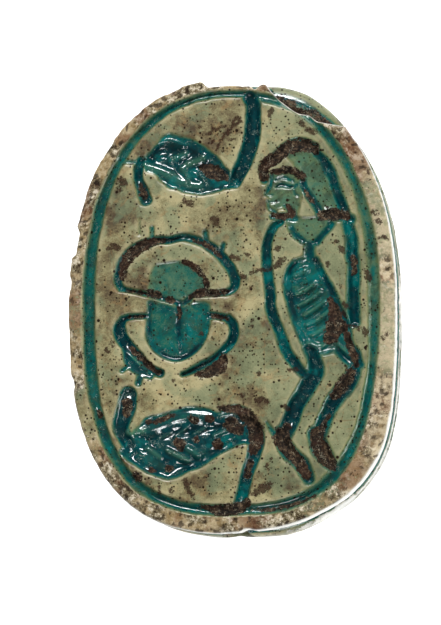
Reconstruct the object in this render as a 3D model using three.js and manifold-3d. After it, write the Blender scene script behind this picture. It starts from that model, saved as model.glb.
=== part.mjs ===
// Scarab amulet of glazed steatite, carved in one piece, lying on its back.
// Millimetres, +Z up, +Y towards the beetle's head, base face up. The origin is under the middle
// of the amulet, on the surface that the crown of the beetle's back rests on. The shapes are drawn
// about the oval's widest line, and the finished mesh is moved back by MIDDLE_Y.

import * as THREE from 'three';
import { mergeVertices } from 'three/addons/utils/BufferGeometryUtils.js';
import Module from 'manifold-3d';

const wasm = await Module();
wasm.setup();

// The ovals are superellipses about their widest line, with a power for each end and side, left
// then right: the outline, squarest at the right of the tail, and the frame line cut in the base
const HEIGHT = 9;
const OUTLINE = {
  halfWidth: 7.92,
  head: 11.13,
  tail: 10.87,
  headPowers: [2.22, 2.3],
  tailPowers: [2.55, 2.8],
};
const FRAME = { halfWidth: 6.9, head: 10.05, tail: 10.05, headPowers: [2.25, 2.25], tailPowers: [2.8, 2.8] };
const FRAME_Y = 0.3;
const MIDDLE_Y = (OUTLINE.head - OUTLINE.tail) / 2;
const SIDES = 76;

// The side profile: a share is a distance from the middle, as a part of the outline's radius there
const RIM_SHARE = 0.985;
const RIM_Z = HEIGHT - 0.2;
const PLATE_Z = HEIGHT - 1.6;
const GROOVE_SHARE = 0.885;
const GROOVE_Z = [HEIGHT - 1.85, HEIGHT - 2.15];
const LEGS_SHARE = 1;
const LEGS_EDGE_SHARE = 0.975;
const LEGS_Z = [HEIGHT - 2.35, HEIGHT - 4.1];
const LEGS_ROUND = 0.4;
const EAVES_SHARE = 0.89;
const EAVES_Z = HEIGHT - 4.3;
const DOME_SHARE = 0.93;
const DOME_Z = HEIGHT - 4.6;
const CROWN_SHARE = 0.14;
const DOME_RINGS = 7;

// The bore for a cord or a ring's wire, from head to tail
const BORE_RADIUS = 0.75;
const BORE_Z = HEIGHT - 3.05;
const MOUTH_RADIUS = 0.9;
const MOUTH_ROOT = 0.98 * BORE_RADIUS;
const MOUTH_DEPTH = 0.9;
const BORE_LENGTH = 1.1 * (OUTLINE.head + OUTLINE.tail);
const BORE_SIDES = 20;

// The carving on the base, which sits a little off the middle of the oval
const CARVING_SHIFT = [0.05, 0];
const THIN = 0.25;
const SHALLOW = 0.18;
const MIDDLE = 0.32;
const DEEP = 0.42;

// How a gouge is made
const STEP = 0.8;
const FLOOR_WIDTH = 0.5;
const WALL_SLOPE = 0.6;
const LIFT = 0.3;
const OVERLAP = 0.05;

// Ribs left standing in sunk areas
const RIB_STEP = 1.5;
const RIB_BELOW = 0.06;
const RIB_FOOT = 2 * DEEP;

// The frame line's half width, and how much more it has at its left, right and tail end
const FRAME_LINE = { half: 0.17, left: 0.13, right: 0.08, tail: 0.09 };

// The kilt's pleats are ribs that get longer and lie further to the right towards the tail
const PLEATS = { count: 6, x: 3.15, y: 1.5, stepX: 0.13, stepY: 0.58, length: 0.6, longer: 0.12, lift: 0.35 };

const MERGE = 1e-4;
const CLEAN = 0.004;

const UP = new THREE.Vector3(0, 0, 1);

// ---- geometry to solids ----

// A closed geometry as a solid, with its shared vertices merged and its faces pointing out
function solid(geometry) {
  const bare = geometry.clone();
  bare.deleteAttribute('normal');
  bare.deleteAttribute('uv');
  const merged = mergeVertices(bare, MERGE);
  const vertProperties = new Float32Array(merged.attributes.position.array);
  const corner = (i) => new THREE.Vector3().fromArray(vertProperties, 3 * i);
  const triVerts = [];
  let volume = 0;
  for (let i = 0; i < merged.index.count; i += 3) {
    const [a, b, c] = merged.index.array.slice(i, i + 3);
    if (a === b || b === c || c === a) continue;
    triVerts.push(a, b, c);
    volume += corner(a).dot(corner(b).cross(corner(c)));
  }
  if (volume < 0) triVerts.reverse();
  const mesh = new wasm.Mesh({ numProp: 3, vertProperties, triVerts: new Uint32Array(triVerts) });
  return new wasm.Manifold(mesh);
}

function joined(solids) {
  return solids.reduce((sum, next) => sum.add(next));
}

function without(body, cutters) {
  return cutters.reduce((left, cutter) => left.subtract(cutter), body);
}

function toGeometry(body) {
  const { vertProperties, triVerts } = body.getMesh();
  const geometry = new THREE.BufferGeometry();
  geometry.setAttribute('position', new THREE.BufferAttribute(new Float32Array(vertProperties), 3));
  geometry.setIndex(new THREE.BufferAttribute(new Uint32Array(triVerts), 1));
  geometry.computeVertexNormals();
  return geometry;
}

// Moves every vertex of a geometry to where place(vertex) says
function reshape(geometry, place) {
  const position = geometry.attributes.position;
  const vertex = new THREE.Vector3();
  for (let i = 0; i < position.count; i += 1) {
    const moved = place(vertex.fromBufferAttribute(position, i));
    position.setXYZ(i, moved.x, moved.y, moved.z);
  }
  return geometry;
}

// ---- the body's surfaces ----

function ovalRadius(angle, { halfWidth, head, tail, headPowers, tailPowers } = OUTLINE) {
  const [length, powers] = Math.sin(angle) >= 0 ? [head, headPowers] : [tail, tailPowers];
  const power = powers[Math.cos(angle) < 0 ? 0 : 1];
  const across = Math.abs(Math.cos(angle)) / halfWidth;
  const along = Math.abs(Math.sin(angle)) / length;
  return (across ** power + along ** power) ** (-1 / power);
}

function planPoint(angle, share, z) {
  const radius = ovalRadius(angle) * share;
  return new THREE.Vector3(radius * Math.cos(angle), radius * Math.sin(angle), z);
}

// Height of the beetle's back at a share of the plan's radius: flat at the crown, steep at the eaves
function domeHeight(share) {
  const rise = THREE.MathUtils.clamp((share - CROWN_SHARE) / (DOME_SHARE - CROWN_SHARE), 0, 1);
  return DOME_Z * (1 - Math.sqrt(1 - rise ** 2));
}

function domePoint(x, y) {
  const share = Math.hypot(x, y) / ovalRadius(Math.atan2(y, x));
  return new THREE.Vector3(x, y, domeHeight(share));
}

// A lathed profile, stretched onto an oval: radiusOf turns the profile's distance from its axis
// and the angle round it into a radius
function stretched(profile, radiusOf) {
  const turned = new THREE.LatheGeometry(profile.map(([out, z]) => new THREE.Vector2(out, z)), SIDES);
  return reshape(turned, ({ x, y, z }) => {
    const angle = Math.atan2(z, x);
    const radius = radiusOf(Math.hypot(x, z), angle);
    return new THREE.Vector3(radius * Math.cos(angle), radius * Math.sin(angle), y);
  });
}

// The way out of the amulet's edge at a point on it
function outOfEdge({ x, y }) {
  const length = y >= 0 ? OUTLINE.head : OUTLINE.tail;
  return new THREE.Vector3(x / OUTLINE.halfWidth ** 2, y / length ** 2, 0).normalize();
}

// ---- gouges and ridges ----

// A box bent along a path. Each station of the path has a point, the way across and the way out;
// section gives [half width, height out of the surface] at the box's lower and upper edges.
function bentBar(stations, section) {
  const last = stations.length - 1;
  const bar = new THREE.BoxGeometry(1, 1, 1, last, 1, 1);
  return solid(reshape(bar, ({ x, y, z }) => {
    const index = Math.round((x + 0.5) * last);
    const { point, across, out } = stations[index];
    const [half, height] = section(index / last, z > 0);
    return point.clone().addScaledVector(across, Math.sign(y) * half).addScaledVector(out, height);
  }));
}

// Stations along a smooth path through the given points, with outAt giving the way out of the surface
function stationsAlong(points, outAt, step = STEP) {
  const path = new THREE.CatmullRomCurve3(points, false, 'centripetal');
  const count = Math.max(2, Math.round(path.getLength() / step));
  return path.getSpacedPoints(count).map((point, index) => {
    const out = outAt(point);
    const across = out.clone().cross(path.getTangentAt(index / count)).normalize();
    return { point, across, out };
  });
}

// Widths are one number, or one for each of several places spread evenly along the path
function widthAt(widths, along) {
  if (!Array.isArray(widths)) return widths;
  const place = along * (widths.length - 1);
  const index = Math.min(Math.floor(place), widths.length - 2);
  return THREE.MathUtils.lerp(widths[index], widths[index + 1], place - index);
}

// A cutter with sloping walls: its width is measured at the surface
function gougeAlong(stations, widths, depth) {
  return bentBar(stations, (along, upper) => {
    const half = widthAt(widths, along) / 2;
    const slope = (half * (1 - FLOOR_WIDTH)) / depth;
    return upper ? [half + slope * LIFT, LIFT] : [half * FLOOR_WIDTH, -depth];
  });
}

function carvingPoint([x, y]) {
  return new THREE.Vector3(x + CARVING_SHIFT[0], y + CARVING_SHIFT[1], HEIGHT);
}

function gouge(points, widths, depth = MIDDLE) {
  return gougeAlong(stationsAlong(points.map(carvingPoint), () => UP), widths, depth);
}

// A rib left standing in a sunk area: it narrows upwards and stops short of the base face
function ridge(points, width, below = RIB_BELOW) {
  const stations = stationsAlong(points.map(carvingPoint), () => UP, RIB_STEP);
  return bentBar(stations, (along, upper) => (upper ? [width / 2, -below] : [width, -RIB_FOOT]));
}

// A sunk area inside a smooth outline, with sloping edges and its ribs left standing
function sunk(outline, depth, ribs = []) {
  const path = new THREE.CatmullRomCurve3(outline.map(carvingPoint), true, 'centripetal');
  const points = path.getSpacedPoints(Math.round(path.getLength() / STEP)).slice(1);
  const wall = depth * WALL_SLOPE;
  const cutter = new THREE.ExtrudeGeometry(new THREE.Shape(points), {
    depth: LIFT,
    steps: 1,
    bevelThickness: depth + OVERLAP,
    bevelSize: wall,
    bevelOffset: -wall,
    bevelSegments: 1,
  });
  cutter.translate(0, 0, HEIGHT + OVERLAP);
  return without(solid(cutter), ribs);
}

// ---- the body ----

function body() {
  const profile = [
    [0, HEIGHT],
    [RIM_SHARE, HEIGHT],
    [1, RIM_Z],
    [1, PLATE_Z],
    [GROOVE_SHARE, GROOVE_Z[0]],
    [GROOVE_SHARE, GROOVE_Z[1]],
    [LEGS_EDGE_SHARE, LEGS_Z[0]],
    [LEGS_SHARE, LEGS_Z[0] - LEGS_ROUND],
    [LEGS_SHARE, LEGS_Z[1] + LEGS_ROUND],
    [LEGS_EDGE_SHARE, LEGS_Z[1]],
    [EAVES_SHARE, EAVES_Z],
  ];
  for (let ring = 0; ring <= DOME_RINGS; ring += 1) {
    const rise = Math.cos((ring / DOME_RINGS) * (Math.PI / 2));
    const share = CROWN_SHARE + (DOME_SHARE - CROWN_SHARE) * rise;
    profile.push([share, domeHeight(share)]);
  }
  profile.push([0, 0]);
  return solid(stretched(profile, (share, angle) => share * ovalRadius(angle)));
}

function bore() {
  const hole = new THREE.CylinderGeometry(BORE_RADIUS, BORE_RADIUS, BORE_LENGTH, BORE_SIDES);
  hole.translate(0, 0, BORE_Z);
  const mouths = [OUTLINE.head, -OUTLINE.tail].map((end) => {
    const cone = new THREE.CylinderGeometry(MOUTH_RADIUS, MOUTH_ROOT, 2 * MOUTH_DEPTH, BORE_SIDES);
    if (end < 0) cone.rotateX(Math.PI);
    cone.translate(0, end, BORE_Z);
    return solid(cone);
  });
  return joined([solid(hole), ...mouths]);
}

// ---- the beetle's back and legs ----

function domeOut(point) {
  const reach = 0.05;
  const here = domePoint(point.x, point.y);
  const alongX = domePoint(point.x + reach, point.y).sub(here);
  const alongY = domePoint(point.x, point.y + reach).sub(here);
  return alongY.cross(alongX).normalize();
}

function backGouge(points, widths, depth) {
  const flat = points.map(([x, y]) => new THREE.Vector3(x, y, 0));
  const path = new THREE.CatmullRomCurve3(flat, false, 'centripetal');
  const count = Math.max(2, Math.round(path.getLength() / STEP));
  const onDome = path.getSpacedPoints(count).map(({ x, y }) => domePoint(x, y));
  return gougeAlong(stationsAlong(onDome, domeOut), widths, depth);
}

// The lines of the back: shoulders and wing cases, and a head between two broad cuts, with a
// toothed front edge
function backCarving() {
  const shoulderLine = [[0, 1.75], [3.2, 1.9], [5.6, 2.9], [7, 3.7]];
  const neckLine = [[0, 6.6], [2.6, 6.9], [4.6, 6.4], [6.2, 5.2]];
  const headSide = [[3.5, 6.9], [3.1, 8.0], [2.5, 9.2], [2.1, 10.4]];
  const notch = [[4.3, 2.1], [4.9, 1.2], [5.4, 0]];
  const brow = [[0.2, 8.1], [1.3, 8.3], [2.3, 8.9]];
  const pairs = [
    [shoulderLine, 0.45, THIN],
    [notch, 0.4, THIN],
    [neckLine, [0.4, 0.5, 0.6], DEEP],
    [headSide, [0.9, 1.4, 1.2], 0.6],
    [brow, 0.32, THIN],
    [[[0.55, 9.4], [0.65, 10.4]], 0.35, DEEP],
    [[[1.5, 9.3], [1.75, 10.3]], 0.35, DEEP],
  ];
  return [
    ...pairs.flatMap(([points, widths, depth]) => [
      backGouge(points, widths, depth),
      backGouge(points.map(([x, y]) => [-x, y]), widths, depth),
    ]),
    backGouge([[0, 1.9], [0, -3], [0, -7], [0, -10.4]], [0.35, 0.4, 0.5], THIN),
  ];
}

// A gouge on the band of legs, along points given as degrees round the plan and heights
function legGouge(points, widths, depth) {
  const onBand = points.map(([degrees, z]) => planPoint(THREE.MathUtils.degToRad(degrees), LEGS_SHARE, z));
  return gougeAlong(stationsAlong(onBand, outOfEdge), widths, depth);
}

// Lens-shaped hollows part the three legs at each side, and short cuts give the front ones teeth
function legCarving() {
  const top = LEGS_Z[0];
  const middle = (top + LEGS_Z[1]) / 2;
  const side = [
    { points: [[31, middle - 0.15], [20, middle], [10, middle + 0.15]], width: [0.25, 1.1, 0.3], depth: 0.6 },
    { points: [[2, middle + 0.3], [-14, middle + 0.1], [-38, middle - 0.1], [-62, middle]],
      width: [0.25, 0.6, 0.6, 0.25], depth: 0.5 },
    { points: [[35, middle - 0.2], [44, middle], [53, middle + 0.1]], width: [0.2, 0.5, 0.3], depth: 0.4 },
  ];
  for (const degrees of [38, 42, 46, 50]) {
    side.push({ points: [[degrees, top + 0.1], [degrees + 1.5, middle + 0.4]], width: 0.25, depth: THIN });
  }
  return side.flatMap(({ points, width, depth }) => [
    legGouge(points, width, depth),
    legGouge(points.map(([degrees, z]) => [180 - degrees, z]), width, depth),
  ]);
}

// ---- the base: its frame line, signs and figure ----

// The frame line, an oval ring that is widest at the left and the tail end
function frameLine() {
  const halfWidth = (angle) => {
    const left = Math.max(0, -Math.cos(angle));
    const right = Math.max(0, Math.cos(angle));
    const tail = Math.max(0, -Math.sin(angle));
    const wider = FRAME_LINE.left * left ** 2 + FRAME_LINE.right * right ** 4 + FRAME_LINE.tail * tail ** 4;
    return FRAME_LINE.half + wider;
  };
  const spread = 1 + ((1 - FLOOR_WIDTH) * LIFT) / MIDDLE;
  const section = [[-FLOOR_WIDTH, -MIDDLE], [FLOOR_WIDTH, -MIDDLE], [spread, LIFT], [-spread, LIFT]];
  const middle = 10;
  const profile = [...section, section[0]].map(([side, height]) => [middle + side, HEIGHT + height]);
  const ring = stretched(profile, (out, angle) => (
    ovalRadius(angle, FRAME) + (out - middle) * halfWidth(angle)
  ));
  return solid(ring.translate(0, FRAME_Y, 0));
}

// The cobra at the head end: a hood with ribs, a head that hangs down and a straight tail
function upperCobra() {
  const hood = [[-4.4, 7.2], [-3.6, 8.1], [-2.9, 8.5], [-1.7, 8.1], [-0.6, 7.2], [0.1, 6.1],
    [-0.9, 5.6], [-2.0, 5.55], [-3.2, 6.0], [-4.25, 6.7]];
  const ribs = [
    ridge([[-4.2, 6.9], [-3.2, 6.6], [-1.6, 5.95]], 0.28),
    ridge([[-3.1, 7.25], [-2.4, 7.5]], 0.2),
    ridge([[-2.2, 7.05], [-1.5, 7.4]], 0.2),
    ridge([[-1.5, 6.55], [-1.0, 6.95]], 0.18),
  ];
  return [
    sunk(hood, MIDDLE, ribs),
    gouge([[0.85, 10.15], [1.03, 9], [0.6, 7.1], [0, 5.95]], [0.7, 0.78, 0.6], DEEP),
    gouge([[-4.4, 7.15], [-4.6, 6.5], [-4.15, 5.25]], [0.4, 0.5, 0.55]),
    gouge([[-5.9, 7.15], [-4.9, 7.1], [-4.4, 7.15]], 0.22, SHALLOW),
  ];
}

// The beetle sign: head and shoulders, wing cases, and two legs at each side
function beetleSign() {
  const shoulders = [[-4.1, 0.75], [-4.0, 1.6], [-3.5, 2.25], [-2.5, 2.35], [-1.6, 1.8], [-1.1, 0.8],
    [-1.9, 0.75], [-2.55, 0.4], [-3.2, 0.6]];
  const upperLegs = [[-4.1, 0.75], [-5.4, 1.05], [-5.3, 2.2], [-4.1, 3.1], [-2.4, 3.4], [-0.9, 2.85],
    [0.1, 1.4], [-0.2, 0.75], [-1.15, 0.65]];
  const wingCases = [[-3.95, 0.3], [-4.15, -1.2], [-3.5, -2.3], [-2.6, -2.65], [-1.7, -2.1], [-1.1, -1],
    [-1.15, 0.3]];
  const lowerLeft = [[-4.2, -0.37], [-5.3, -0.45], [-5.45, -1.4], [-4.5, -2.4], [-3.35, -3.2]];
  const lowerRight = [[-1.1, -0.37], [0, -0.6], [0.05, -1.5], [-0.8, -2.4], [-2.45, -3.15]];
  const teeth = [[-3.9, 3.9, -3.9, 3.2], [-4.5, 4.25, -4.45, 3.3], [-1.3, 3.65, -1.25, 3.1],
    [-0.43, 3.1, -0.5, 2.7], [-5.35, -3.0, -4.75, -2.5], [-4.6, -3.55, -4.2, -3.0], [-1.2, -3.4, -1.3, -2.8]];
  return [
    sunk(shoulders, SHALLOW),
    sunk(wingCases, SHALLOW),
    gouge(upperLegs, [0.3, 0.5, 0.45, 0.35, 0.4, 0.45, 0.3]),
    gouge([[-4.05, 0.75], [-3.0, 0.4], [-2.5, 0.22], [-1.9, 0.6], [-1.15, 0.68]], 0.38),
    gouge([[-2.58, 0.3], [-2.62, -0.9], [-2.55, -2.2]], [0.42, 0.4, 0.3]),
    gouge(wingCases, [0.3, 0.35, 0.3, 0.22, 0.2]),
    gouge(lowerLeft, [0.3, 0.65, 0.55, 0.4]),
    gouge(lowerRight, [0.35, 0.55, 0.5, 0.4]),
    ...teeth.map(([x0, y0, x1, y1]) => gouge([[x0, y0], [x1, y1]], THIN, SHALLOW)),
  ];
}

// The cobra at the tail end, larger and more worn than the other
function lowerCobra() {
  const hood = [[-5.3, -6.8], [-4.4, -5.6], [-3.2, -5.0], [-1.8, -4.75], [-0.7, -4.95], [0.4, -4.7],
    [1.3, -5.6], [1.4, -6.7], [0.3, -6.7], [-1.2, -7.4], [-2.7, -8.3], [-4.2, -7.95]];
  const ribs = [
    ridge([[-5.0, -6.0], [-4.3, -5.85]], 0.4),
    ridge([[-3.8, -5.7], [-2.7, -5.4], [-1.4, -5.15]], 0.25),
    ridge([[-4.5, -7.0], [-3.3, -7.7]], 0.25),
    ridge([[-3.9, -6.6], [-3.1, -7.2]], 0.2),
    ridge([[-3.05, -6.75], [-2.2, -7.35]], 0.2),
    ridge([[-2.1, -6.75], [-1.5, -7.05]], 0.2),
    ridge([[-1.9, -6.0], [-1.3, -5.75]], 0.2),
    ridge([[-0.9, -6.2], [-0.2, -5.9]], 0.2),
  ];
  return [
    sunk(hood, MIDDLE, ribs),
    gouge([[0.7, -5.5], [1.17, -6.5], [0.72, -8], [0.3, -9.6]], [0.7, 0.78, 0.65, 0.6], DEEP),
    gouge([[-5.05, -4.1], [-5.2, -5.0], [-5.35, -5.8], [-4.85, -6.75]], [0.9, 0.85, 0.65]),
  ];
}

// The striding figure: a long wig, arms at the sides, a ribbed kilt and two legs
function stridingFigure() {
  const wig = [[2.6, 7.0], [3.6, 7.35], [4.5, 6.4], [5.1, 5.0], [4.7, 4.6], [4.1, 5.0], [3.3, 6.0]];
  const chest = [[2.4, 4.0], [4.0, 4.1], [5.4, 4.0], [4.6, 3.0], [3.7, 2.6], [2.9, 3.1]];
  const kilt = [[3.3, 2.3], [2.6, 1.3], [2.75, -0.2], [3.5, -1.8], [4.3, -2.4], [5.2, -2.2], [5.7, -1.8],
    [5.1, -0.1], [4.4, 1.5], [3.95, 2.3]];
  const pleats = Array.from({ length: PLEATS.count }, (_, index) => {
    const x = PLEATS.x + PLEATS.stepX * index;
    const y = PLEATS.y - PLEATS.stepY * index;
    return ridge([[x, y], [x + PLEATS.length + PLEATS.longer * index, y + PLEATS.lift]], 0.22, 0.1);
  });
  return [
    sunk(wig, SHALLOW),
    gouge([[1.55, 6.0], [1.6, 6.9], [2.5, 7.6], [3.5, 7.85], [4.1, 7.5]], [0.35, 0.5, 0.55]),
    gouge([[4.0, 7.5], [4.6, 6.7], [5.1, 5.4], [5.45, 4.4]], [0.42, 0.4, 0.36]),
    gouge([[3.3, 6.5], [3.5, 5.8], [4.1, 4.9], [4.3, 4.3]], 0.35),
    gouge([[1.9, 6.2], [2.5, 6.35]], THIN, SHALLOW),
    gouge([[1.5, 5.7], [2.0, 5.15], [3.0, 5.2]], 0.3, THIN),
    gouge([[2.1, 4.4], [3.0, 4.2]], 0.3),
    gouge([[4.4, 4.4], [5.75, 4.15]], 0.45),
    sunk(chest, SHALLOW),
    gouge([[2.25, 4.1], [1.7, 3.1], [1.73, 1.5], [1.87, 0], [2.45, -1.7], [3.5, -3.4]], 0.48),
    gouge([[5.5, 4.1], [5.8, 2.8], [5.83, 1], [5.9, -0.8]], 0.52),
    sunk(kilt, MIDDLE, pleats),
    gouge([[3.8, -2.1], [4.0, -3.0], [3.1, -4.75], [2.45, -6.3]], 0.75, DEEP),
    gouge([[2.25, -6.0], [2.9, -7.2], [3.75, -8.4]], [0.6, 0.75, 0.6], DEEP),
    gouge([[5.2, -2.1], [5.85, -3.0], [4.75, -4.8], [4.2, -6.3]], 0.62, DEEP),
    gouge([[3.95, -6.1], [4.3, -6.95], [4.95, -7.85]], [0.7, 0.85, 0.6], DEEP),
  ];
}

// ---- damage ----

// The edge plate has broken away at one corner, along this line
function brokenCorner() {
  const line = [[1.5, 12], [1.65, 10.75], [2.05, 10.2], [2.8, 9.6], [3.3, 9.3], [3.75, 9.25], [4.1, 8.95],
    [4.5, 8.85], [5.2, 8.72], [7, 8.6], [7, 12]];
  const shape = new THREE.Shape(line.map((point) => new THREE.Vector2(...point)));
  const lump = new THREE.ExtrudeGeometry(shape, { depth: HEIGHT, bevelEnabled: false });
  lump.translate(...CARVING_SHIFT, GROOVE_Z[1]);
  return solid(lump);
}

// Each chip is a lump bitten out of the plate's edge: degrees round the outline, half its size along
// the edge, how far it reaches in, half its height, and whether it is at the lower edge
function edgeChips() {
  const chips = [
    { degrees: 157, along: 0.85, reach: 0.24, deep: 1.5 },
    { degrees: 89.5, along: 1.3, reach: 0.42, deep: 1.0 },
    { degrees: -72, along: 1.6, reach: 0.28, deep: 1.3 },
    { degrees: 10, along: 0.7, reach: 0.5, deep: 0.5 },
    { degrees: -31, along: 0.6, reach: 0.55, deep: 0.6 },
    { degrees: -43, along: 0.8, reach: 0.5, deep: 0.7 },
    { degrees: -86, along: 0.5, reach: 0.5, deep: 0.5 },
    { degrees: -81, along: 1.25, reach: 0.5, deep: 0.8, low: true },
    { degrees: 128, along: 0.6, reach: 0.3, deep: 0.5 },
  ];
  return chips.map(({ degrees, along, reach, deep, low }) => {
    const edge = planPoint(THREE.MathUtils.degToRad(degrees), 1, low ? PLATE_Z : HEIGHT);
    const out = outOfEdge(edge);
    const lump = new THREE.IcosahedronGeometry(1, 0).rotateZ(degrees).scale(2 * reach, along, deep);
    lump.translate(reach, 0, 0).rotateZ(Math.atan2(out.y, out.x));
    return solid(lump.translate(edge.x, edge.y, edge.z));
  });
}

// ---- the amulet ----

const baseCarving = joined([
  frameLine(),
  ...upperCobra(),
  ...beetleSign(),
  ...lowerCobra(),
  ...stridingFigure(),
]);
const damage = [brokenCorner(), ...edgeChips()];
const carved = without(body(), [bore(), baseCarving, ...backCarving(), ...legCarving(), ...damage]);

// Crumbs cut loose where gouges cross fall away, and the largest body is the amulet
const [amulet] = carved.simplify(CLEAN).decompose().sort((a, b) => b.volume() - a.volume());

const material = new THREE.MeshStandardMaterial({ color: 0x5f8a72, roughness: 0.5, metalness: 0 });
const scarab = new THREE.Mesh(toGeometry(amulet), material);
scarab.name = 'scarab';
scarab.position.y = -MIDDLE_Y;

const group = new THREE.Group();
group.add(scarab);
export default group;
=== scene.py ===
import functools
import itertools
import math

import bpy
import numpy as np
from mathutils import Matrix, Vector


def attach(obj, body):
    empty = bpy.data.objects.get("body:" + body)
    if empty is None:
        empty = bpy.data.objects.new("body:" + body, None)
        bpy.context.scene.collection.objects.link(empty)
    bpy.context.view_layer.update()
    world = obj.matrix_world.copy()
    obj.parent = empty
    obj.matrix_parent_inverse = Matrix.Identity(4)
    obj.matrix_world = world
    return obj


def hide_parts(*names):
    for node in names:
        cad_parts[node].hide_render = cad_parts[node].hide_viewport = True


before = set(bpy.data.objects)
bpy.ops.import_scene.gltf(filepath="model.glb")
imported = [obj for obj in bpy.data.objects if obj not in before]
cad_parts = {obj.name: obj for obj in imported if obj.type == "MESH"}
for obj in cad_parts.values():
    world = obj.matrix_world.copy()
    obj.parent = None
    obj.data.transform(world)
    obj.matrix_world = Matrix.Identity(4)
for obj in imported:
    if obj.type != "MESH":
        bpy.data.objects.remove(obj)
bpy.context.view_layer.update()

# Lengths are millimetres. Shapes are drawn about the oval's widest line, and MIDDLE moves a drawn
# point to its place in the part's frame. The carving sits a little off the middle of the oval.
MM = 0.001
HEIGHT = 9.0
MIDDLE = (0, -0.13)
CARVING_SHIFT = (0.05, 0)
OUTLINE = {"half": 7.92, "head": 11.13, "tail": 10.87, "head_powers": (2.22, 2.3), "tail_powers": (2.55, 2.8)}
FRAME = {"half": 6.9, "head": 10.05, "tail": 10.05, "head_powers": (2.25, 2.25), "tail_powers": (2.8, 2.8)}
FRAME_AT = (-0.06, 0.3)

# The side: shares of the outline's radius, and heights. The back's dome begins where the band ends.
PLATE_Z = 7.4
UNDER_PLATE = [(0.965, 7.3), (0.925, 7.2), (0.895, 7.08), (0.885, 6.95)]
LEG_BAND = [(0.89, 6.83), (0.925, 6.74), (0.955, 6.68), (0.978, 6.6), (0.992, 6.48), (0.999, 6.33),
            (1.0, 6.15), (1.0, 5.95), (1.0, 5.75), (1.0, 5.55), (1.0, 5.35), (0.997, 5.18), (0.985, 5.03),
            (0.96, 4.9), (0.925, 4.8), (0.9, 4.7), (0.895, 4.6), (0.905, 4.5), (0.925, 4.42)]
CROWN, DOME = 0.14, 0.93
DOME_Z = 4.4
BORE_Z, BORE_RADIUS = 5.95, 0.75
BORE_LIP, BORE_LIP_Y = 0.08, (10.2, 11)

# ---- random but repeatable values ----


class Noise:
    """Smooth random values between about -1 and 1 at points in space."""

    def __init__(self, seed):
        random = np.random.default_rng(seed)
        order = random.permutation(256)
        self.order = np.concatenate([order, order])
        slopes = random.normal(size=(256, 3))
        self.slopes = slopes / np.linalg.norm(slopes, axis=1)[:, None]

    def at(self, points):
        cell = np.floor(points).astype(int)
        part = points - cell
        cell &= 255
        fade = part**3 * (part * (part * 6 - 15) + 10)
        total = np.zeros(len(points))
        for corner in itertools.product((0, 1), repeat=3):
            mixed = 0
            for axis in range(3):
                mixed = self.order[mixed + ((cell[:, axis] + corner[axis]) & 255)]
            value = ((part - corner) * self.slopes[mixed]).sum(1)
            total += value * np.where(corner, fade, 1 - fade).prod(1)
        return total * 1.6

    def layered(self, points, scale, layers=3):
        """Several sizes of noise, each half as large and half as strong as the one before."""
        return sum(self.at(points * scale * 2**i + 7.3 * i) / 2**i for i in range(layers)) / 1.6


NOISE = [Noise(seed) for seed in range(8)]


def rise(value, start, end):
    """0 before start, 1 after end, and smooth between them."""
    t = np.clip((value - start) / (end - start), 0, 1)
    return t * t * (3 - 2 * t)


def fall(value, start, end):
    """1 before start, 0 after end, and smooth between them."""
    return rise(-value, -end, -start)


def lift(values, near, new):
    """Raises the values of the near points to new ones, where those are higher."""
    values[near] = np.maximum(values[near], new)


# ---- ovals and paths ----

MARGIN = 0.6  # how far outside a line the points still count as near it
AT_ONCE = 4096  # points measured together


def in_space(plan):
    """Points of the plan, with a height of 0."""
    return np.pad(plan, ((0, 0), (0, 1)))


def on_plan(radius, angle, z):
    return np.stack([radius * np.cos(angle), radius * np.sin(angle), z], 1)


def oval_radius(angle, oval=OUTLINE):
    head = np.sin(angle) >= 0
    left = np.cos(angle) < 0
    length = np.where(head, oval["head"], oval["tail"])
    power = np.where(head, np.where(left, *oval["head_powers"]), np.where(left, *oval["tail_powers"]))
    across = abs(np.cos(angle)) / oval["half"]
    along = abs(np.sin(angle)) / length
    return (across**power + along**power) ** (-1 / power)


def round_table(angle, table):
    """A value that goes smoothly round the oval through the (degrees, value) pairs."""
    degrees, values = zip(*table)
    return np.interp(np.degrees(angle) % 360, degrees, values, period=360)


def smooth(points, closed=False, step=0.07):
    """A smooth path through the points, and how far along the list of points each of its own is."""
    points = np.array(points, float)
    if closed:
        points = np.vstack([points[-1], points, points[:2]])
    else:
        points = np.vstack([2 * points[0] - points[1], points, 2 * points[-1] - points[-2]])
    path, place = [], []
    for i in range(1, len(points) - 2):
        a, b, c, d = points[i - 1 : i + 3]
        count = max(2, int(np.hypot(*(c - b)) / step))
        t = np.linspace(0, 1, count, endpoint=False)[:, None]
        bend = (2 * a - 5 * b + 4 * c - d) * t**2
        path.append(0.5 * (2 * b + (c - a) * t + bend + (3 * b - a - 3 * c + d) * t**3))
        place.append(i - 1 + t[:, 0])
    path.append(points[-2][None])
    place.append([len(points) - 3])
    return np.vstack(path), np.concatenate(place)


def to_path(points, path):
    """For each point, its distance to the path and the index along it, with a part, of the nearest place."""
    best, where = np.zeros(len(points)), np.zeros(len(points))
    a, way = path[:-1], np.diff(path, axis=0)
    length2 = np.maximum((way**2).sum(1), 1e-12)
    for start in range(0, len(points), AT_ONCE):
        some = points[start : start + AT_ONCE, None]
        t = np.clip(((some - a) * way).sum(2) / length2, 0, 1)
        gap = np.linalg.norm(some - (a + t[..., None] * way), axis=2)
        nearest = gap.argmin(1)
        rows = np.arange(len(nearest))
        best[start : start + AT_ONCE] = gap[rows, nearest]
        where[start : start + AT_ONCE] = nearest + t[rows, nearest]
    return best, where


def inside(points, path):
    """True for the points inside a closed path."""
    x, y = points[:, :1], points[:, 1:]
    (x0, y0), (x1, y1) = path[:-1].T, path[1:].T
    crosses = (y0 > y) != (y1 > y)
    with np.errstate(divide="ignore", invalid="ignore"):
        at = (x1 - x0) * (y - y0) / (y1 - y0) + x0
    return ((x < at) & crosses).sum(1) % 2 == 1


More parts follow.
